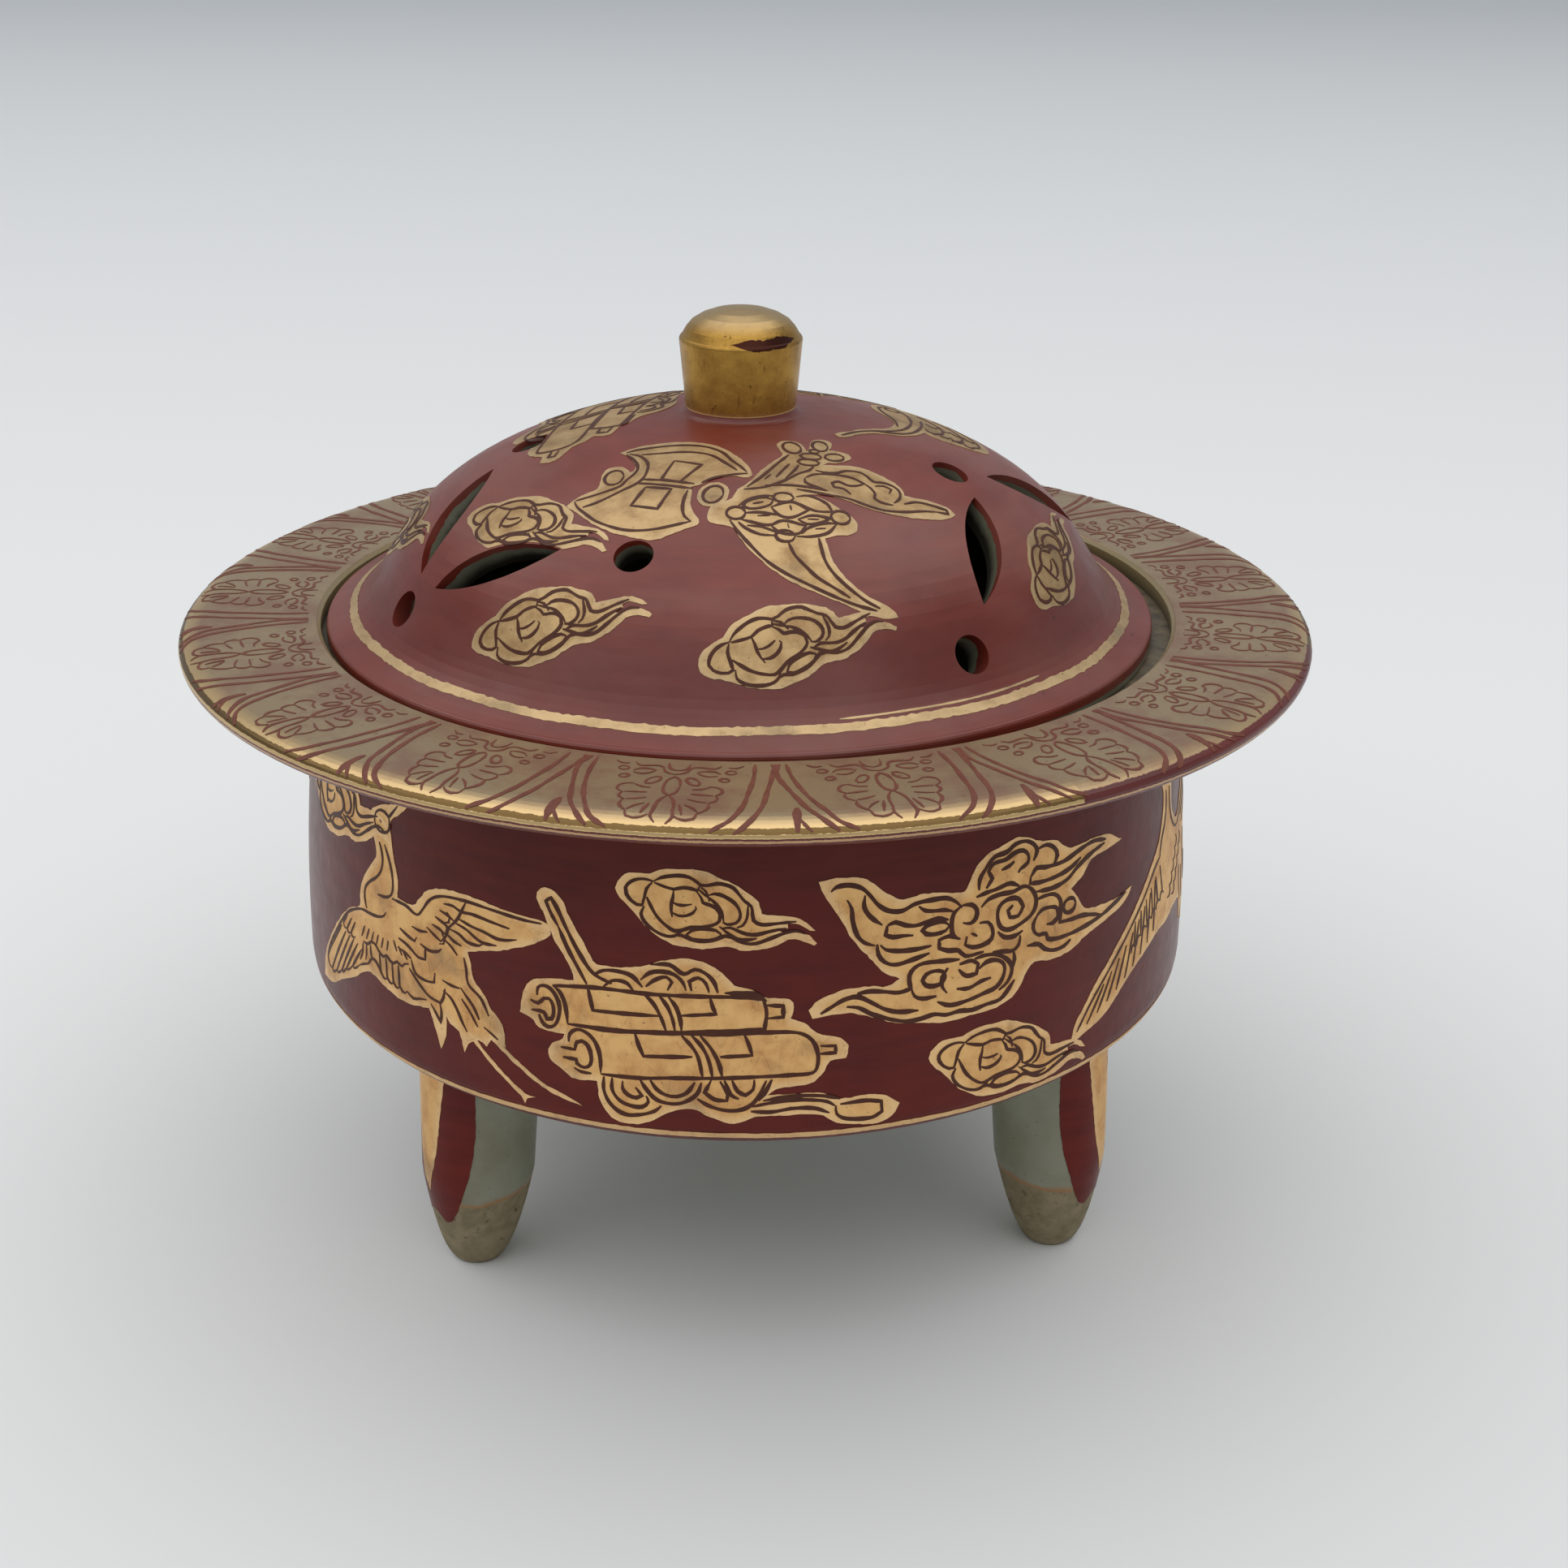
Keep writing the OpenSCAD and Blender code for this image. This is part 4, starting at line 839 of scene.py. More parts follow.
# Painted highlight: the gold turns paler and more metallic where the top falls to the lip, less on the
# rubbed side.
falling = add(tree, "MapRange", {0: radius, "From Min": RIM_HIGHLIGHT_R[0], "From Max": RIM_HIGHLIGHT_R[1]})
kept_gold = add(tree, "MapRange", {0: rubbed_side, "To Min": 1.0, "To Max": 0.3})
painted_highlight = add(tree, "Math", {0: falling, 1: kept_gold}, operation="MULTIPLY")
highlit_gold = add(tree, "Mix", {0: painted_highlight, 6: worn_gold, 7: "#d2b380"})
# Painted dark reflection: an olive band darkens the gold round the rolled lip.
dark_reflection_band = add(tree, "Math", {0: level, 1: LIP_EDGE_Z, 2: LIP_EDGE_HALF}, operation="COMPARE")
painted_dark_reflection = add(tree, "Math", {0: dark_reflection_band, 1: 0.9}, operation="MULTIPLY")
edged_gold = add(tree, "Mix", {0: painted_dark_reflection, 6: highlit_gold, 7: "#5f4722"})
colour = add(tree, "Mix", {0: gilded, 6: red, 7: edged_gold})
colour = add(tree, "Mix", {0: line_here, 6: colour, 7: RIM_LINE_GOLD})
throat = add(tree, "Math", {0: radius, 1: MOUTH_R}, operation="LESS_THAN")
stained = add(tree, "MapRange", {0: level, "From Min": MOUTH_STAIN_Z[0], "From Max": MOUTH_STAIN_Z[1]})
olive_tone = add(tree, "Mix", {0: stained, 6: STAINED_GLAZE, 7: OLIVE_GOLD})
colour = add(tree, "Mix", {0: throat, 6: colour, 7: olive_tone})
gleam = add(tree, "MapRange", {0: painted_highlight, "To Min": 0.62, "To Max": 0.88})
shiny = add(tree, "Math", {0: gilded, 1: gleam}, operation="MULTIPLY")
outside = add(tree, "Math", {0: 1.0, 1: throat}, operation="SUBTRACT")
metal = add(tree, "Math", {0: shiny, 1: outside}, operation="MULTIPLY")
end_finish(tree, colour, (patchy, 0.24, 0.42), grit, 0.02, Metallic=metal, IOR=1.5)
coat(material, "rim_flange")


# The painting on the flange: seventeen panels of a double-lined lappet round a small palmette with
# scrolls, in a reddish-brown brush line over the gold, thicker in the lappets than in the flowers.
RIM_U_R = 51.0  # one millimetre of drawing is measured round the flange at this radius
RIM_PANELS = 17
RIM_FIRST = -5.75  # the middle of the first panel, mm round from the front
RIM_FALL_R = 54.8  # here the top begins to fall to the lip
RIM_FALL = 3.2
RIM_LIP = 1.2
RIM_PALMETTE_R = 51
WEDGE_FILM = 0.04


def on_flange(points, lift):
    """Puts drawn points on the flange: u round it, v out from the axis and then over its rolled lip."""
    turn = points[:, 0] / RIM_U_R
    over = np.clip((points[:, 1] - RIM_FALL_R) / RIM_FALL, 0, 0.97)
    rolled = points[:, 1] > RIM_FALL_R
    r = np.where(rolled, RIM_FALL_R + (RIM_FALL + lift) * over, points[:, 1])
    z = RIM_ROLL_Z + (RIM_LIP + lift) * np.sqrt(1 - over ** 2)
    return np.stack([r * np.sin(turn), -r * np.cos(turn), z], 1) * 0.001


lappet = [
    [(-9.4, 45.3), (-9.4, 47.8), (-8.7, 50.5), (-8, 53), (-7.4, 55), (-6.2, 57), (-5.4, 57.8)],
    [(-8.4, 45.1), (-8.1, 48), (-7.6, 50.5), (-7, 52.8), (-6.2, 55), (-5.3, 56.9), (-3.9, 57.8)],
    [(9.3, 45.3), (8.8, 48.5), (8.3, 51.2), (7.9, 53.7), (7.2, 56), (6.3, 57.4), (5.6, 57.9)],
    [(7.4, 45.1), (7.2, 48.2), (6.7, 51.4), (6.2, 54.4), (5.3, 56.6), (3.8, 57.8)]]
half_palmette = [
    [(1, 56.1), (1.4, 56.5), (2.1, 56.7), (2.7, 56.5), (2.9, 55.7)],
    [(2.9, 55.7), (3.4, 55.2), (3.7, 54.4), (3.6, 53.6)],
    [(3.6, 53.6), (4.1, 53.2), (4.3, 52.6), (4.1, 52)],
    [(4.1, 52), (4.6, 51.5), (4.6, 50.7), (4.1, 50.2), (3.4, 50.1)], [(1.7, 56), (1.5, 55), (1.3, 54.1)],
    [(2.8, 55.5), (2.3, 54.7), (1.6, 54.1)], [(3.5, 53.5), (2.7, 53.3), (1.8, 52.9)],
    [(4, 52), (3.1, 51.9), (2, 51.8)], [(3.5, 50.2), (2.7, 50.7), (1.9, 50.8)],
    oval(1.9, 49.1, 0.5, 0.95, -35), oval(4.9, 48.6, 0.5, 0.38, 20), oval(5.4, 46.9, 0.55, 0.42),
    [(2, 47), (2.5, 47.6), (3.3, 47.9), (4.1, 47.7)], [(2.1, 46.9), (2.9, 46.7), (3.8, 46.8), (4.3, 47.3)],
    [(0, 47.7), (0.6, 47.5), (1.2, 47), (1.4, 46.3), (2, 45.9), (3, 46), (3.9, 46.1), (4.5, 45.5)],
    [(0, 46.8), (0.7, 46.5), (1, 45.9), (1.1, 45.2)], [(5.2, 45.8), (6, 45.9), (6.7, 45.4)]]
stem = [
    oval(0, 50.2, 0.75, 2.0),
    [(-0.05, 52.3), (-0.5, 53.1), (-0.7, 54.2), (-0.75, 55.4), (-0.85, 56.3), (-0.4, 57.1)],
    [(0.05, 52.3), (0.5, 53.1), (0.7, 54.2), (0.75, 55.4), (0.85, 56.4), (0.4, 57.2)]]
rim_brush = new_sheet()
for panel in range(RIM_PANELS):
    u = RIM_FIRST + panel * 2 * math.pi * RIM_U_R / RIM_PANELS
    hand = random.Random(panel)
    lean, wide = hand.uniform(-0.012, 0.012), hand.uniform(0.86, 0.98)
    for line in lappet:
        lay_stroke(rim_brush, [(u + x, r) for x, r in line], on_flange, hand.uniform(0.38, 0.5), BRUSH_RISE)
    rosette = stem + half_palmette + [[(-x, r) for x, r in line] for line in half_palmette]
    for line in rosette:
        off = hand.uniform(-0.12, 0.12)
        leaning = [(u + x * wide + (r - RIM_PALMETTE_R) * lean + off, r) for x, r in line]
        lay_stroke(rim_brush, leaning, on_flange, hand.uniform(0.24, 0.34), BRUSH_RISE)
    edge = u + math.pi * RIM_U_R / RIM_PANELS
    wedge = [(-0.5, 45.1), (0.5, 45.1), (0.25, 46.4), (-0.1, 47.5), (-0.3, 46.4)]
    wedge = flowing([(edge + x, r) for x, r in wedge], 0.4, closed=True)
    lay_film(rim_brush, wedge, on_flange, WEDGE_FILM, grid=1.0)
    for width, line in ((0.7, [(1.1, 54.6), (1, 55.8), (0.9, 57.8)]),
                        (0.35, [(1.2, 56.5), (1.5, 57.2), (2, 57.8)])):
        lay_stroke(rim_brush, [(edge + x, r) for x, r in line], on_flange, width, BRUSH_RISE)

material, tree, mm = start_finish("red_brown_brush_line")
flow = add(tree, "TexNoise", {"Vector": mm, "Scale": 0.9, "Detail": 3.0})
colour = add(tree, "Mix", {0: flow, 6: "#572a20", 7: "#7d4a3a"})
end_finish(tree, colour, (flow, 0.34, 0.5), flow, 0.01, **SOFT_SHEEN)
make_piece("rim_brush_lines", rim_brush, material, "burner_base")


# The ledge inside the mouth that the lid rests on, and the locating ring under the lid. Both were thrown
# with their pieces and are left in plain olive-grey glaze, a little rough and stained brown by smoke.
material, tree, mm = start_finish("olive_grey_glaze")
tone, slow = mottled(tree, mm, "#3d3425", "#66583f", 0.4, 5.0, 0.36, 0.64, roughness=0.7)
end_finish(tree, tone, (slow, 0.4, 0.6), slow, 0.05, IOR=1.5)
coat(material, "lid_seat", "lid_ring")


# The three feet: solid turned pegs luted under the drum. Their lowest third was kept out of the celadon,
# so that the buff clay shows. The glaze ends in a rusty line that rises towards the middle of the burner.
FOOT_AZIMUTHS = {"front_left_foot": -56.0, "front_right_foot": 64.0, "rear_foot": 184.0}
FOOT_CIRCLE_R = 34.1  # at the top of the feet, about a point FOOT_SHIFT to the right of the drum's axis
FOOT_SHIFT = 1.2
FOOT_LEAN = math.radians(3.5)
FOOT_TOP_Z = 29.0
FOOT_R = 5
GLAZE_OUTER_Z, GLAZE_INNER_Z = 8.5, 9.5  # the height at which the glaze ends

material, tree, mm = start_finish("celadon_over_bare_stoneware")
radius, _, height = about_axis(tree, mm)
inward = add(tree, "MapRange", {0: radius, "From Min": FOOT_CIRCLE_R + FOOT_R,
                                "From Max": FOOT_CIRCLE_R - FOOT_R, "To Min": GLAZE_OUTER_Z,
                                "To Max": GLAZE_INNER_Z})
uneven = add(tree, "TexNoise", {"Vector": mm, "Scale": 0.3, "Detail": 4.0})
wander = add(tree, "MapRange", {0: uneven, "To Min": -0.8, "To Max": 0.8})
level = add(tree, "Math", {0: height, 1: wander}, operation="ADD")
above = add(tree, "Math", {0: level, 1: inward}, operation="SUBTRACT")
glazed = add(tree, "MapRange", {0: above, "From Min": -0.05, "From Max": 0.15})
rusty = add(tree, "MapRange", {0: above, "From Min": 0.15, "From Max": 0.8, "To Min": 1.0, "To Max": 0.0})
clay, sandy = mottled(tree, mm, "#776b50", "#8d8063", 0.7, 5.0, 0.35, 0.65, roughness=0.55)
clay, _ = flecked(tree, mm, clay, "#4b3c2a", 0.55, 5.0, 0.6, 0.68, 0.75, roughness=0.7)
glaze = add(tree, "Mix", {0: rusty, 6: grey_celadon(tree, mm), 7: "#94683c"})
colour = add(tree, "Mix", {0: glazed, 6: clay, 7: glaze})
end_finish(tree, colour, (glazed, 0.85, 0.3), sandy, 0.05, IOR=1.5)
coat(material, *FOOT_AZIMUTHS)


# The paint on each foot: a long red tongue down its outer face with a tapering stripe of gold along the
# middle. The red is the drum's own enamel brought down over the celadon in two joined drops.
FOOT_PAINT_R = 6.15
FOOT_LENGTH = 28.6  # painted, measured down the leaning foot
FOOT_NOSE = 11  # below this height the foot rounds in to its tip
TIP_R, NOSE_SWELL = 1.9, 4.0
SHANK_R, SHANK_SWELL, SHANK_LENGTH = 5.9, 0.5, 18.27
GROUND_OFF = 0.22  # the leaning tip was ground level with the table by this much
PAINT_TUCK = 0.02  # how far the paint runs into the drum's floor
STRIPE_FILM = 0.085
TONGUE = [
    (-6, 28.9), (-6.1, 24), (-6.3, 19), (-6.2, 16), (-5.8, 13), (-5, 10), (-4.2, 7.8), (-3.4, 6.4),
    (-2.8, 5.9), (-2, 5.8), (-1.2, 6.4), (0, 6.8), (1.2, 6.4), (2, 5.8), (2.8, 5.9), (3.4, 6.4), (4.2, 7.8),
    (5, 10), (5.8, 13), (6.2, 16), (6.3, 19), (6.1, 24), (6, 28.9), (3, 28.92), (0, 28.9), (-3, 28.92)]
STRIPE = [
    (-3.6, 28.8), (-3.2, 26), (-2.7, 22), (-2.2, 18), (-1.6, 14), (-0.8, 11), (0, 9), (0.8, 11), (1.6, 14),
    (2.2, 18), (2.7, 22), (3.2, 26), (3.6, 28.8), (0, 28.85)]


def on_foot(azimuth):
    """The surface of one foot: u round it from its outermost line, v up from the table."""
    def surface(points, lift):
        down = np.clip((FOOT_TOP_Z - points[:, 1]) / math.cos(FOOT_LEAN), 0.0, FOOT_LENGTH)
        v = FOOT_TOP_Z / math.cos(FOOT_LEAN) - down + GROUND_OFF
        nose = TIP_R + NOSE_SWELL * np.sqrt(np.minimum(v, FOOT_NOSE) / FOOT_NOSE)
        shank = SHANK_R + SHANK_SWELL * (v - FOOT_NOSE) / SHANK_LENGTH
        r = np.where(v > FOOT_NOSE, shank, nose) + lift
        turn = points[:, 0] / FOOT_PAINT_R
        out, side = r * np.cos(turn), r * np.sin(turn)
        far = FOOT_CIRCLE_R + out * math.cos(FOOT_LEAN) + down * math.sin(FOOT_LEAN)
        z = np.minimum(FOOT_TOP_Z - down * math.cos(FOOT_LEAN) + out * math.sin(FOOT_LEAN),
                       FOOT_TOP_Z + PAINT_TUCK)
        a = math.radians(azimuth)
        x = FOOT_SHIFT + far * math.sin(a) + side * math.cos(a)
        y = -far * math.cos(a) + side * math.sin(a)
        return np.stack([x, y, z], 1) * 0.001
    return surface


foot_red, foot_gold = new_sheet(), new_sheet()
for azimuth in FOOT_AZIMUTHS.values():
    lay_film(foot_red, flowing(TONGUE, OUTLINE_STEP, closed=True), on_foot(azimuth), grid=1.0)
    lay_film(foot_gold, flowing(STRIPE, OUTLINE_STEP, closed=True), on_foot(azimuth), STRIPE_FILM, grid=1.0)
material, tree, mm = start_finish("iron_red_enamel")
ripple = add(tree, "TexNoise", {"Vector": mm, "Scale": 0.5, "Detail": 2.0})
end_finish(tree, brushed_enamel(tree, mm, "#58160f", "#681d15"), (ripple, 0.26, 0.4), ripple, 0.04,
           **SOFT_SHEEN)
make_piece("feet_red_tongues", foot_red, material, "burner_base")
make_piece("feet_gold_stripes", foot_gold, gilding, "burner_base")


# The lid: one thrown dome that flares to a flat brim, pierced by hand in three groups for the smoke.
# Outside it wears the red enamel in a thinner, pinker coat, whose lighter colour is partly painted light on
# its upward face, with streaks of painted sheen; its underside is grey celadon darkened by soot and painted
# shade, seen again inside the holes.
LID_SHIFT = 0.7  # the lid sits this far to the left in its seat
DOME_A = 36.5
DOME_RISE = 18.4
DOME_Z = 69.15
SHOULDER_R = 34.71
SHOULDER_SLOPE = math.radians(57.2)
FLARE_R = 7.5
FLARE_X = 43.9
FLARE_Z = 74.427
LID_BRIM_Z = 67.15
DOME_SKIN = 0.972  # share of the outer ellipse at which the enamel begins
SLOPE_SKIN = 68.92
LID_UNDER_Z = 66.0
THICK_Z = 71.5  # the enamel pooled here, where the dome turns into the flare
THICK_FADE = (1.0, 5.5)  # it thins out between these distances above and below
SOOT_AND_SHADE_SKIN = (0.925, 0.955)  # shares of the outer ellipse between which the soot and painted shade fade

material, tree, mm = start_finish("iron_red_enamel_over_pierced_lid")
centred = add(tree, "VectorMath", {0: mm, 1: (LID_SHIFT, 0.0, 0.0)}, operation="ADD")
radius, _, height = about_axis(tree, centred)
raised = add(tree, "Math", {0: height, 1: DOME_Z}, operation="SUBTRACT")
up = add(tree, "Math", {0: raised, 1: DOME_RISE}, operation="DIVIDE")
out = add(tree, "Math", {0: radius, 1: DOME_A}, operation="DIVIDE")
shell = add(tree, "CombineXYZ", {"X": out, "Y": up})
skin = add(tree, "VectorMath", {0: shell}, operation="LENGTH")
ragged = add(tree, "TexNoise", {"Vector": mm, "Scale": 0.7, "Detail": 3.0})
wander = add(tree, "MapRange", {0: ragged, "To Min": -0.012, "To Max": 0.012})
near = add(tree, "Math", {0: skin.outputs["Value"], 1: wander}, operation="ADD")
on_dome_skin = add(tree, "Math", {0: near, 1: DOME_SKIN}, operation="GREATER_THAN")
slope_out = add(tree, "Math", {0: radius, 1: math.sin(SHOULDER_SLOPE)}, operation="MULTIPLY")
slope_up = add(tree, "Math", {0: height, 1: math.cos(SHOULDER_SLOPE), 2: slope_out},
               operation="MULTIPLY_ADD")
on_slope_skin = add(tree, "Math", {0: slope_up, 1: SLOPE_SKIN}, operation="GREATER_THAN")
either = add(tree, "Math", {0: on_dome_skin, 1: on_slope_skin}, operation="MAXIMUM")
high_up = add(tree, "Math", {0: height, 1: LID_UNDER_Z}, operation="GREATER_THAN")
enamelled = add(tree, "Math", {0: either, 1: high_up}, operation="MULTIPLY")
# Soot and painted shade: darkest on the underside, least near the outer skin in the holes' walls.
soot_and_shade = add(tree, "MapRange", {0: near, "From Min": SOOT_AND_SHADE_SKIN[0], "From Max": SOOT_AND_SHADE_SKIN[1],
                               "To Min": 0.95, "To Max": 0.35})
under = add(tree, "Mix", {0: soot_and_shade, 6: grey_celadon(tree, mm), 7: "#1f1b15"})
# Painted sheen: broad pale greyish streaks over the lid's enamel.
streaky = add(tree, "VectorMath", {0: mm, 1: (1.0, 1.0, 2.4)}, operation="MULTIPLY")
sheen_streaks = add(tree, "TexNoise", {"Vector": streaky, "Scale": 0.06, "Detail": 3.0})
painted_sheen = add(tree, "MapRange", {0: sheen_streaks, "From Min": 0.45, "From Max": 0.62, "To Max": 0.3})
# The enamel's colours here are lighter than the drum's: partly its own tone, partly painted light on the
# upward face.
red = add(tree, "Mix", {0: painted_sheen, 6: brushed_enamel(tree, mm, "#672419", "#762d20"), 7: "#87594f"})
off_flare = add(tree, "Math", {0: height, 1: THICK_Z}, operation="SUBTRACT")
from_flare = add(tree, "Math", {0: off_flare}, operation="ABSOLUTE")
thick = add(tree, "MapRange", {0: from_flare, "From Min": THICK_FADE[0], "From Max": THICK_FADE[1],
                               "To Min": 0.45, "To Max": 0.0})
red = add(tree, "Mix", {0: thick, 6: red, 7: "#571a12"})
colour = add(tree, "Mix", {0: enamelled, 6: under, 7: red})
ripple = add(tree, "TexNoise", {"Vector": mm, "Scale": 0.35, "Detail": 3.0})
end_finish(tree, colour, (ripple, 0.3, 0.46), ripple, 0.06, IOR=1.5, **{"Specular IOR Level": 0.45})
coat(material, "lid_dome")


# The lid's gilding: a weight, a cap with ribbons, a bundle, a feather spray and clouds between the holes,
# and a plain band above the brim. The gold is duller than the drum's, its brush lines are the same. The
# holes are left clear.
DRAWN_FROM_Z = 33.0  # drawings are thrown on to the dome along rays from here, mm above the table
HALVINGS = 26  # steps of each search for the skin along a line
RAY_SHARES = (0.5, 1.6)  # the skin is looked for between these shares of a ray
DEPTHS = (-3.0, 6.0)  # and between these distances along a piercing
HOLE_MARGIN = 0.2
OUT_OF_REACH = -12  # a piercing this far behind a drawing's flat can't cut it
BRIM_U_R = 40.0  # one millimetre of drawing is measured round the brim at this radius
BAND_R = (39.4, 40.2)
SLOT_SIZE = (14.6, 4.0)
HOLE_D = 3.8
UP_SLOTS = [(-16, 30.3, 43), (19, 30.1, -37)]  # degrees from the group's middle, radius, lean
UP_HOLES = [(0, 22.6), (-30, 36.6), (31, 36.6)]  # degrees from the group's middle, radius
DOWN_SLOTS = [(7, 32, 57), (-16, 30.2, -33)]
DOWN_HOLES = [(-9, 36.7), (34, 28.7), (-33, 21.4)]


def lid_height(r):
    """Height of the lid's outside at a radius from its own axis."""
    dome = DOME_Z + DOME_RISE * np.sqrt(np.maximum(1 - (np.minimum(r, SHOULDER_R) / DOME_A) ** 2, 0))
    straight = dome - (r - SHOULDER_R) * math.tan(SHOULDER_SLOPE)
    away = np.clip(FLARE_X - r, 0, FLARE_R)
    flare = np.maximum(FLARE_Z - np.sqrt(FLARE_R ** 2 - away ** 2), LID_BRIM_Z)
    edge = np.where(r < FLARE_X - FLARE_R * math.sin(SHOULDER_SLOPE), straight, flare)
    return np.where(r < SHOULDER_R, dome, edge)


def lid_frame(azimuth, r):
    """A point of the lid with its tangent round, its tangent uphill and its normal, about the lid's axis."""
    a = math.radians(azimuth)
    rise = float(lid_height(np.array(r + 0.001)) - lid_height(np.array(r))) / 0.001
    middle = np.array([r * math.sin(a), -r * math.cos(a), float(lid_height(np.array(r)))])
    uphill = np.array([-math.sin(a), math.cos(a), -rise])
    uphill /= np.linalg.norm(uphill)
    round_ = np.array([math.cos(a), math.sin(a), 0.0])
    return middle, round_, uphill, np.cross(round_, uphill)


def on_dome(azimuth, r):
    """The lid's skin for drawings made on the flat that touches it at one point."""
    middle, round_, uphill, _ = lid_frame(azimuth, r)

    def surface(points, lift):
        start = np.array([0, 0, DRAWN_FROM_Z])
        ray = middle + points[:, :1] * round_ + points[:, 1:2] * uphill - start
        near, far = (np.full(len(points), end) for end in RAY_SHARES)
        for _ in range(HALVINGS):
            share = (near + far) / 2
            tried = ray * share[:, None] + start
            outside = tried[:, 2] > lid_height(np.hypot(tried[:, 0], tried[:, 1]))
            near, far = np.where(outside, near, share), np.where(outside, share, far)
        placed_at = ray * share[:, None] + start + ray / np.linalg.norm(ray, axis=1)[:, None] * lift
        return (placed_at - [LID_SHIFT, 0, 0]) * 0.001
    return surface


def on_brim(points, lift):
    """The lid's flare and brim: u round the lid, v out from its axis."""
    turn = points[:, 0] / BRIM_U_R
    r = points[:, 1]
    return np.stack([r * np.sin(turn) - LID_SHIFT, -r * np.cos(turn), lid_height(r) + lift], 1) * 0.001


def opening(azimuth, r, ring):
    """Points round one piercing, on the lid's skin."""
    middle, round_, uphill, normal = lid_frame(azimuth, r)
    at = np.array([middle + x * round_ + y * uphill for x, y in ring])
    near, far = (np.full(len(at), end) for end in DEPTHS)
    for _ in range(HALVINGS):
        deep = (near + far) / 2
        tried = at - normal * deep[:, None]
        outside = tried[:, 2] > lid_height(np.hypot(tried[:, 0], tried[:, 1]))
        near, far = np.where(outside, deep, near), np.where(outside, far, deep)
    return tried


def lens_ring(lean):
    """A pointed oval with its margin, leaning from the uphill line."""
    l, w = SLOT_SIZE[0] + 2 * HOLE_MARGIN, SLOT_SIZE[1] + 2 * HOLE_MARGIN
    r = (l * l + w * w) / (4 * w)
    half = math.asin(l / 2 / r)
    side = [(w / 2 - r + r * math.cos(a), r * math.sin(a)) for a in np.linspace(-half, half, 16)]
    ring = side[:-1] + [(-x, -y) for x, y in side[:-1]]
    c, s = math.cos(math.radians(-lean)), math.sin(math.radians(-lean))
    return [(x * c - y * s, x * s + y * c) for x, y in ring]


def hole_ring():
    """A round hole with its margin."""
    r = HOLE_D / 2 + HOLE_MARGIN
    return [(r * math.cos(k * math.pi / 10), r * math.sin(k * math.pi / 10)) for k in range(20)]


piercings = []
for start, slots, holes in ((-53, DOWN_SLOTS, DOWN_HOLES), (67, UP_SLOTS, UP_HOLES),
                            (187, UP_SLOTS, UP_HOLES)):
    piercings += [opening(start + a, r, lens_ring(lean)) for a, r, lean in slots]
    piercings += [opening(start + a, r, hole_ring()) for a, r in holes]


def cuts_for(azimuth, r):
    """The piercings as outlines in one drawing's flat, leaving out those round the back."""
    middle, round_, uphill, normal = lid_frame(azimuth, r)
    start = np.array([0, 0, DRAWN_FROM_Z])
    found = []
    for ring in piercings:
        if ((ring.mean(0) - middle) @ normal) < OUT_OF_REACH:
            continue
        rays = ring - start
        scale = ((middle - start) @ normal) / (rays @ normal)
        flat = rays * scale[:, None] + start - middle
        found.append(np.stack([flat @ round_, flat @ uphill], 1))
    return found


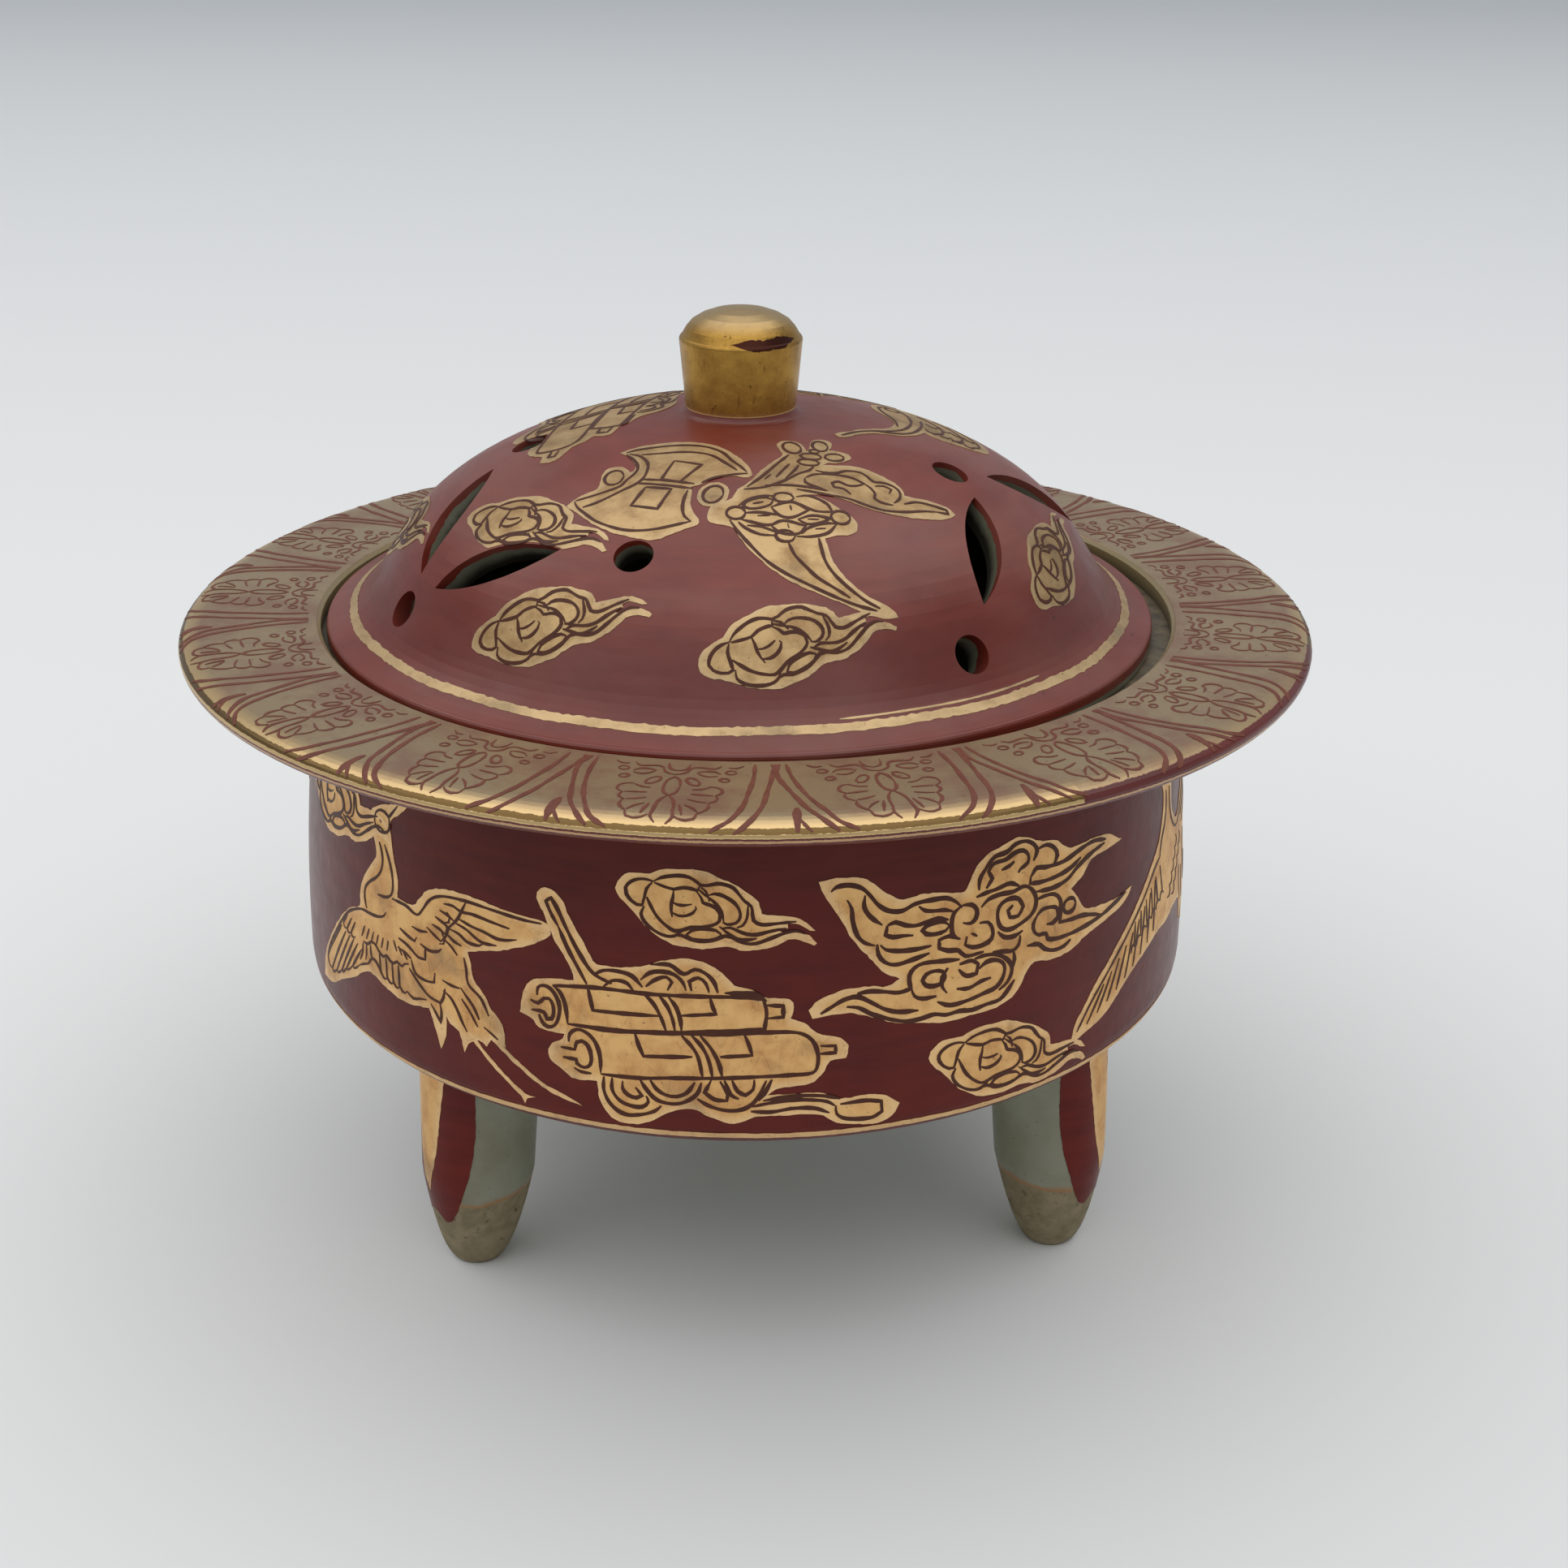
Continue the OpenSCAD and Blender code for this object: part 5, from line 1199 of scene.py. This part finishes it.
weight = {
    "middle": (-8.4, 4.2),
    "skins": [
        [(-17.6, 3.1), (-16.9, 3.8), (-16, 4.4), (-14.4, 5), (-14.2, 5.6), (-14.1, 6.6), (-13.9, 8),
         (-13.3, 8.7), (-12.3, 8.7), (-11.5, 8), (-11.1, 7.1), (-10.7, 7.3), (-10.6, 8.4), (-11, 9.6),
         (-11.6, 10.8), (-12.4, 11.8), (-11.9, 12.1), (-10.6, 12.6), (-8.9, 12.8), (-6.7, 12.8),
         (-4.4, 12.3), (-2.8, 11.5), (-1.7, 10.4), (-0.6, 8.9), (0.4, 7.1), (0.8, 5.7), (0.8, 5), (0, 4.6),
         (-0.7, 5), (-2.2, 4.8), (-3.4, 4.2), (-4.3, 3.5), (-5, 3.3), (-4.9, 2.7), (-5, 1.6), (-5, 0.3),
         (-4.8, -0.8), (-4.3, -1.8), (-4.4, -2.6), (-5.6, -3.1), (-6.9, -3.7), (-8.3, -4.2), (-9.4, -4.1),
         (-10.8, -3.4), (-12.2, -2.7), (-13.6, -1.6), (-15, -0.2), (-16.1, 1.2), (-16.9, 2.3)],
        oval(-2.9, 1.9, 1.5, 2, -15)[:-1]],
    "lines": [
        oval(-12.7, 6.6, 1, 1.35), oval(-2.9, 1.9, 0.95, 1.4, -15),
        [(-11.7, 11.2), (-10.8, 9.6), (-10.4, 8.4), (-10.4, 7.3), (-10.8, 6.5), (-11.4, 5.7), (-12, 4.8),
         (-13.3, 4.3), (-15, 3.9), (-16.6, 3.7)],
        [(-11.4, 11.2), (-10.3, 10.4), (-9.5, 9), (-9.3, 7.9), (-9.4, 6.8), (-9.7, 5.7), (-10.4, 4.8),
         (-11.7, 4), (-13.1, 3.2), (-14.4, 2.6), (-15.8, 2.3)],
        [(-11.7, 11.6), (-10.6, 11.9), (-8.3, 12), (-6.1, 11.9), (-4.4, 11.5), (-3.1, 10.8), (-1.9, 9.6),
         (-1.1, 8), (-0.3, 6.8), (0.3, 5.7)],
        [(-10.1, 10.6), (-8.1, 10.4), (-6.1, 10.3), (-4.4, 9.9), (-3, 9.1), (-1.8, 7.6), (-0.6, 6)],
        [(-6.7, 8.5), (-4, 7.3), (-6.1, 4.3), (-7.9, 5.1), (-6.7, 8.5)],
        [(-9.4, 4), (-6.9, 3.2), (-8.2, 0.2), (-10.8, 1.2), (-9.4, 4)],
        [(-9.9, 5.5), (-7.2, 4.7), (-4.7, 3.8)], [(-10.4, 4.9), (-7.6, 4), (-4.9, 3)],
        [(-5.3, 2.8), (-5.7, 1.2), (-5.8, -0.2), (-5.6, -1.3), (-5, -2.1)],
        [(-16.7, 3.6), (-16.4, 2.6), (-15.4, 1.1), (-14.4, -0.2), (-13.1, -1.3), (-11.4, -2.3),
         (-9.7, -2.7), (-8.1, -2.7), (-6.4, -2.4), (-5.1, -2.1)],
        [(-4, 3.9), (-2.8, 4.7), (-1.1, 5.2), (0.4, 5.4)]],
}

ribboned_cap = {
    "middle": (4, 0),
    "skins": [
        [(-3.5, -1.6), (-3.3, -0.4), (-2.8, 0.4), (-1.9, 0.7), (-1.1, 1.2), (-0.8, 2.1), (-0.6, 2.6),
         (0, 3.2), (0.6, 4), (1, 4.6), (1.5, 5.7), (2.2, 6.8), (3.3, 8.4), (3.9, 9.3), (3.6, 10.5),
         (3.4, 11.5), (3.8, 12.5), (4.6, 12.8), (5.6, 12.5), (6.1, 11.5), (6.3, 10.4), (6.7, 11.2),
         (6.8, 12.6), (7.5, 13.6), (8.3, 13.8), (9, 13.3), (9, 12.3), (8.6, 11.2), (9.6, 11.2),
         (10.6, 10.8), (10.9, 10.1), (10.4, 9.4), (9.4, 8.6), (8.3, 8.3), (7.8, 7.8), (9.2, 8), (11.1, 8.3),
         (12.8, 7.8), (14.4, 6.8), (15.6, 5.7), (16, 4.3), (16.9, 4.3), (18.9, 4.4), (20.8, 4.1),
         (21.7, 3.3), (21.1, 2.6), (20, 1.8), (18.3, 1.2), (16.1, 0.7), (13.9, 0.7), (11.9, 1), (10.6, 1.5),
         (9.4, 1.9), (7.5, 2.3), (6.1, 2.1), (7.8, 1.4), (8.9, 0.4), (10, -0.4), (10.7, -1.6), (10.6, -2.7),
         (9.7, -3.4), (8.6, -3.6), (7.5, -4.2), (7.8, -5.4), (8.3, -7.1), (9.2, -8.5), (10.3, -9.6),
         (11.9, -10.7), (13.6, -11.3), (14.7, -11.8), (15.1, -12.4), (13.6, -12.8), (11.7, -12.6),
         (9.2, -11.8), (6.7, -10.9), (4.4, -9.9), (2.5, -8.5), (0.8, -6.6), (-0.3, -4.9), (-1.1, -3.2),
         (-2.2, -2.7), (-3.2, -2.4)]],
    "lines": [
        oval(-0.8, -1.1, 0.9, 0.9), oval(3.7, 1.4, 1, 0.75), oval(9.1, -1, 0.95, 0.95),
        oval(3.75, -4.2, 0.95, 0.75), oval(1.3, 0.4, 1.5, 0.75, 20), [(0.8, 0.3), (1.8, 0.6)],
        [(2.5, -0.2), (3.6, 0.5), (4.7, 0.7), (6, -0.4), (4.4, -1.6), (3.3, -1.4), (2.5, -0.2)],
        [(4.3, 0.2), (4.4, -0.5)], [(0.1, -1.1), (1.4, -1), (3.4, -1.4)], [(1.2, -1.5), (2.4, -1.4)],
        [(3.6, -2.1), (2.2, -2.8), (0.6, -2.4), (-0.4, -2)],
        [(2.4, -2.8), (3.6, -2.1), (5.7, -2.7), (5, -3.8), (3.3, -3.8), (2.4, -2.8)],
        [(4, -2.5), (4.1, -3.1)], [(5, -1.8), (6.4, -1.1), (8.1, -1.3), (7.2, -2), (5.8, -2.4), (5, -1.8)],
        [(5.9, -1.7), (7, -1.6)],
        [(4.9, 1.6), (6.1, 1.9), (7.8, 0.9), (8.3, -0.3), (6.7, -0.4), (5.3, 0.4), (4.6, 0.8)],
        [(5.3, -3.8), (6, -2.9), (7.5, -2.1), (8.6, -2)],
        [(4.8, -4.2), (6.2, -4.1), (7.8, -3.4), (8.7, -2)], [(6.6, -3), (7.6, -2.8)],
        [(-0.6, -2.4), (0, -3.2), (1.4, -4.1), (2.8, -4.2)], [(0.2, -2.9), (1.6, -3.1), (3, -3.8)],
        [(-0.6, -0.1), (0.3, 0.9), (1.6, 1.5), (2.7, 1.6)],
        [(-1.4, -2.1), (-0.6, -3.8), (0.6, -5.7), (1.9, -7.4), (3.6, -8.8), (5.8, -10), (8.3, -11.1),
         (10.6, -11.8), (12.8, -12.1)],
        [(4, -5), (4.6, -6.6), (5.6, -7.9), (6.7, -9.1), (8.1, -10), (10, -11.1)],
        [(6.9, -4.2), (7.1, -5.4), (7.5, -7.1), (8.3, -8.5), (9.7, -9.9), (11.4, -11.1), (13.1, -11.8)],
        oval(4.9, 11.1, 0.9, 1.3, 12), oval(7.8, 12, 0.8, 1.2), oval(9.1, 9.7, 1.05, 0.75, 20),
        oval(6.7, 9.4, 1.1, 0.65), oval(6.4, 8.1, 1.1, 0.65), oval(7.1, 10.6, 0.5, 0.4),
        [(0.3, 3), (1.7, 4.8), (3.1, 7.1), (4.5, 9.4)], [(3.1, 4.8), (3.8, 6.2), (4.5, 7.5)],
        [(4, 4.7), (4.9, 6.2), (5.4, 7.4)], [(2, 4.4), (2.6, 5.3)],
        [(0, 2.6), (1.9, 3), (3.9, 4.3), (5.3, 5.7), (6.4, 6.5), (6.9, 7.4)],
        [(7, 6.6), (8, 6.3), (9.3, 6.6), (10, 7.1), (11.5, 7.2), (12.3, 6.5), (12.8, 5.8), (13.9, 5.9),
         (15, 5.5), (15.5, 4.6), (15.3, 3.4), (14.7, 2.6)],
        [(6, 5.1), (6.9, 5.8), (8.9, 6.1), (10.6, 5.9), (11.8, 5.1), (10.9, 4.5), (10, 4.4), (9.2, 4.9),
         (8.5, 4.5), (8.7, 3.8), (9.6, 3.7), (10.3, 2.9)],
        [(5.9, 5), (5.9, 4.2), (6.8, 3.6), (8, 3)],
        [(11.8, 5.1), (12.4, 4.5), (12.8, 3.6), (12.7, 2.8), (13.4, 2.3), (14.6, 2.2)],
        [(12.9, 5), (13.8, 5.3), (14.6, 4.9), (14.3, 4.1)], [(2, 3.3), (4.4, 3.5), (6.7, 3.3), (7.8, 3)],
        [(5, 2.9), (7.8, 2.4), (10, 2.1), (11.9, 1.4), (13.6, 1.1), (15.8, 1.5), (17.8, 2.3), (19.4, 2.8)],
        [(15.8, 2.8), (17.2, 3.6), (18.9, 3.7), (20.6, 3.6), (20.8, 3), (19.4, 2.8)]],
}

feather_spray = {
    "middle": (0, 0),
    "skins": [
        [(-5.5, 5.2), (-5, 5.8), (-4.2, 5.4), (-3.2, 4.5), (-2, 3.7), (-0.6, 2.4), (0.6, 1.3), (2.2, 0.8),
         (4, 0.8), (5.6, 1.6), (7.4, 2.8), (9.4, 3.7), (11.6, 4), (13.6, 3.2), (15, 1.4), (15.6, -1),
         (15.2, -3.4), (14, -5.6), (12.2, -7.4), (10, -8.8), (7.6, -9.6), (5.8, -9.2), (4.4, -7.6),
         (3.4, -5.6), (3, -3.6), (3.6, -2.5), (2, -2), (0.8, -1.4), (-0.4, -0.4), (-1.3, 1), (-2.2, 2.4),
         (-3.6, 3.6), (-5.2, 4.6)]],
    "lines": [
        [(-4.9, 5.1), (-3, 3.9), (-1.6, 2.6), (-0.4, 1.2), (1, 0.1), (3, -0.6), (6, -0.8), (9, -0.3),
         (12, 0.8)],
        [(-1.2, 2), (-0.6, 0.7), (0.5, -0.6), (2, -1.4), (4, -1.8), (6.4, -1.9), (9, -1.6)],
        [(2.6, 0.3), (5, 0.9), (7, 2), (9.2, 2.9), (11.4, 3.1), (13, 2.4)], oval(11.4, 1.7, 1.2, 0.8, 10),
        [(4.2, -3.4), (6, -4.2), (8.4, -4), (10.4, -2.8), (12.4, -1)],
        [(4.4, -5.4), (6.2, -6.4), (8.6, -6.2), (10.8, -5), (13.2, -2.8)],
        [(5.4, -7.6), (7.2, -8.4), (9.4, -8), (11.6, -6.6), (13.8, -4.4)],
        *scallops((5.4, -2.4), (5.8, -8), 4, -0.8), *scallops((8.4, -2.2), (9.2, -7.8), 4, -0.8)],
}
bundle = {
    "middle": scrolls["middle"],
    "skins": [[(u, v) for u, v in scrolls["skins"][0] if u < 2.8 or v > 35.3]],
    "lines": [line for line in scrolls["lines"] if not any(u > 2.8 and v < 35.6 for u, v in line)],
}

lid_gold, lid_brush = new_sheet(), new_sheet()
for drawing, azimuth, r, where in (
        (weight, 2, 22, {}), (ribboned_cap, 2, 22, {}),
        (cloud, -46, 28, {"turn": 20}), (cloud, -36, 33, {"shift": (4.1, -3.6), "turn": 40}),
        (cloud, 0, 34, {"shift": (5.3, -1.8), "turn": 32, "size": 1.02}),
        (cloud, 63, 33, {"shift": (2.7, -1.8), "turn": 33, "size": 0.98}),
        (bundle, -100, 17, {"shift": (2.7, -38.6), "turn": -4.5}),
        (feather_spray, 81, 16, {}),
        (weight, 152, 20, {"shift": (8, -4), "turn": -8, "size": 0.9}),
        (cloud, 122, 32, {"shift": (2, -2), "turn": 28}),
        (cloud, 183, 33, {"shift": (2.4, -1.6), "turn": 32}),
        (cloud, 238, 34, {"shift": (2.4, -1), "turn": 30}),
        (cloud, 270, 34, {"shift": (2.4, -1), "turn": 34})):
    paint(lid_gold, lid_brush, drawing, on_dome(azimuth, r), 0.32, cuts=cuts_for(azimuth, r), **where)
lay_band(lid_gold, on_brim, 2 * math.pi * BRIM_U_R, *BAND_R, rough=0.07, step=0.5, rows=3)
lay_stroke(lid_gold, [(10, 39.05), (17, 39), (25, 39.05), (33, 38.95)], on_brim, 0.16, GOLD_FILM)
dulled_gilding = matt_gilding("dulled_gilding", "#bf9f70", "#9b7a50", "#cdb48c", 0.65)
make_piece("lid_gilding", lid_gold, dulled_gilding, "lid")
make_piece("lid_brush_lines", lid_brush, brush_line, "lid")


# The knob: a solid plug that widens upwards to a low cap, luted on the dome and gilded all over. Handling
# has worn a dark chip along the front of its rim and left specks and faint streaks on its side. The top of
# the cap is painted paler as a highlight.
KNOB_FOOT_Z = 87.95
KNOB_RIM_Z = 95.3
THIN_GOLD_Z = (88.0, 88.4)  # pale just above its foot
CAP_HIGHLIGHT_Z = (96.0, 97.0)
CHIP_AZIMUTH = 0.5  # radians
CHIP_TAPER = (0.2, 0.66)

material, tree, mm = start_finish("burnished_gold_knob")
centred = add(tree, "VectorMath", {0: mm, 1: (LID_SHIFT, 0.0, 0.0)}, operation="ADD")
_, azimuth, height = about_axis(tree, centred)
gold, patchy = mottled(tree, mm, "#b1893f", "#967031", 0.3, 5.0, 0.4, 0.64, roughness=0.65)
along = add(tree, "VectorMath", {0: mm, 1: (2.2, 2.2, 0.35)}, operation="MULTIPLY")
gold, _ = flecked(tree, along, gold, "#5b3a1b", 1.0, 4.0, 0.58, 0.7, 0.55, roughness=0.7)
low = add(tree, "MapRange", {0: height, "From Min": THIN_GOLD_Z[0], "From Max": THIN_GOLD_Z[1],
                             "To Min": 0.6, "To Max": 0.0})
gold = add(tree, "Mix", {0: low, 6: gold, 7: "#c69a6a"})
gold, grit = flecked(tree, mm, gold, "#3a1d12", 1.1, 4.0, 0.64, 0.69, 0.85, roughness=0.7)
by_rim = add(tree, "Math", {0: height, 1: KNOB_RIM_Z}, operation="SUBTRACT")
from_rim = add(tree, "Math", {0: by_rim}, operation="ABSOLUTE")
ragged = add(tree, "TexNoise", {"Vector": mm, "Scale": 0.5, "Detail": 3.0, "Roughness": 0.6})
reach = add(tree, "MapRange", {0: ragged, "From Min": 0.3, "From Max": 0.6, "To Min": 0.15, "To Max": 0.75})
off_middle = add(tree, "Math", {0: azimuth, 1: CHIP_AZIMUTH}, operation="SUBTRACT")
away = add(tree, "Math", {0: off_middle}, operation="ABSOLUTE")
taper = add(tree, "MapRange", {0: away, "From Min": CHIP_TAPER[0], "From Max": CHIP_TAPER[1],
                               "To Min": 1.0, "To Max": 0.0})
narrowed = add(tree, "Math", {0: reach, 1: taper}, operation="MULTIPLY")
chip = add(tree, "Math", {0: from_rim, 1: narrowed}, operation="LESS_THAN")
colour = add(tree, "Mix", {0: chip, 6: gold, 7: "#3f1d13"})
# Painted highlight: the top of the cap is made paler.
painted_top_highlight = add(tree, "MapRange", {0: height, "From Min": CAP_HIGHLIGHT_Z[0], "From Max": CAP_HIGHLIGHT_Z[1],
                                "To Max": 0.6})
colour = add(tree, "Mix", {0: painted_top_highlight, 6: colour, 7: "#b9a27c"})
foot_edge = add(tree, "Math", {0: height, 1: KNOB_FOOT_Z}, operation="LESS_THAN")
colour = add(tree, "Mix", {0: foot_edge, 6: colour, 7: "#6a2a1d"})
metal = add(tree, "MapRange", {0: foot_edge, "To Min": 0.85, "To Max": 0.0})
end_finish(tree, colour, (patchy, 0.26, 0.44), grit, 0.03, Metallic=metal, IOR=1.5)
coat(material, "knob")


# The table and the light. A pale matt tabletop runs far back under one large softbox, hung high and a
# little to the left, with an even fill all round, so that the shadow is soft. The tabletop is painted darker
# towards the back as painted fall-off of the light. The camera looks down from the front.
TABLE_NEAR = "#e3e3e2"
TABLE_FAR = "#c4c7ca"
TABLE_SIZE = 12  # metres
TABLE_FADE_Y = (150.0, 1400.0)  # mm behind the burner
ROOM_DIM = "#e9eef3"
SOFTBOX_WIDTH, SOFTBOX_DEPTH = 3.6, 3.2  # metres
SOFTBOX_PLACE = (-0.4, -0.25, 1.6)
SOFTBOX_WATTS = 41.0
CAMERA_PLACE = (0.0040, -0.2416, 0.1489)
CAMERA_DOWN, CAMERA_ROLL = 23.01, 0.5  # degrees
LENS_MM = 55.92

bpy.ops.mesh.primitive_plane_add(size=TABLE_SIZE, location=(0, 0, 0))
floor = bpy.context.object
floor.name = "tabletop"
material, tree, mm = start_finish("matt_white_tabletop")
back = add(tree, "SeparateXYZ", {0: mm}).outputs["Y"]
# Painted light fall-off: the table darkens from TABLE_NEAR to TABLE_FAR towards the back.
far = add(tree, "MapRange", {0: back, "From Min": TABLE_FADE_Y[0], "From Max": TABLE_FADE_Y[1]})
slow = add(tree, "TexNoise", {"Vector": mm, "Scale": 0.004, "Detail": 2.0})
tone = add(tree, "Mix", {0: far, 6: TABLE_NEAR, 7: TABLE_FAR})
end_finish(tree, tone, (slow, 0.9, 0.9), slow, 0.01, **{"Specular IOR Level": 0.2})
floor.data.materials.append(material)
floor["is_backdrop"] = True

world = bpy.data.worlds.new("studio")
bpy.context.scene.world = world
world.use_nodes = True
world.node_tree.nodes.clear()
seen = add(world.node_tree, "LightPath").outputs["Is Camera Ray"]
strength = add(world.node_tree, "MapRange", {0: seen, "To Min": 0.47, "To Max": 0.5})
sky = add(world.node_tree, "Background", {"Color": ROOM_DIM, "Strength": strength})
add(world.node_tree, "OutputWorld", {"Surface": sky})
light = bpy.data.lights.new("overhead_softbox", "AREA")
light.shape = "RECTANGLE"
light.size = SOFTBOX_WIDTH
light.size_y = SOFTBOX_DEPTH
light.energy = SOFTBOX_WATTS
lamp = bpy.data.objects.new("overhead_softbox", light)
lamp.location = SOFTBOX_PLACE
bpy.context.scene.collection.objects.link(lamp)

lens = bpy.data.cameras.new("camera")
lens.sensor_width = 36.0
lens.lens = LENS_MM
lens.clip_start = 0.01
camera = bpy.data.objects.new("camera", lens)
camera.location = CAMERA_PLACE
camera.rotation_euler = (math.radians(90 - CAMERA_DOWN), 0.0, 0.0)
camera.rotation_euler.rotate_axis("Z", math.radians(CAMERA_ROLL))
bpy.context.scene.collection.objects.link(camera)
bpy.context.scene.camera = camera
bpy.context.scene.view_settings.view_transform = "Standard"

low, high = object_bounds()
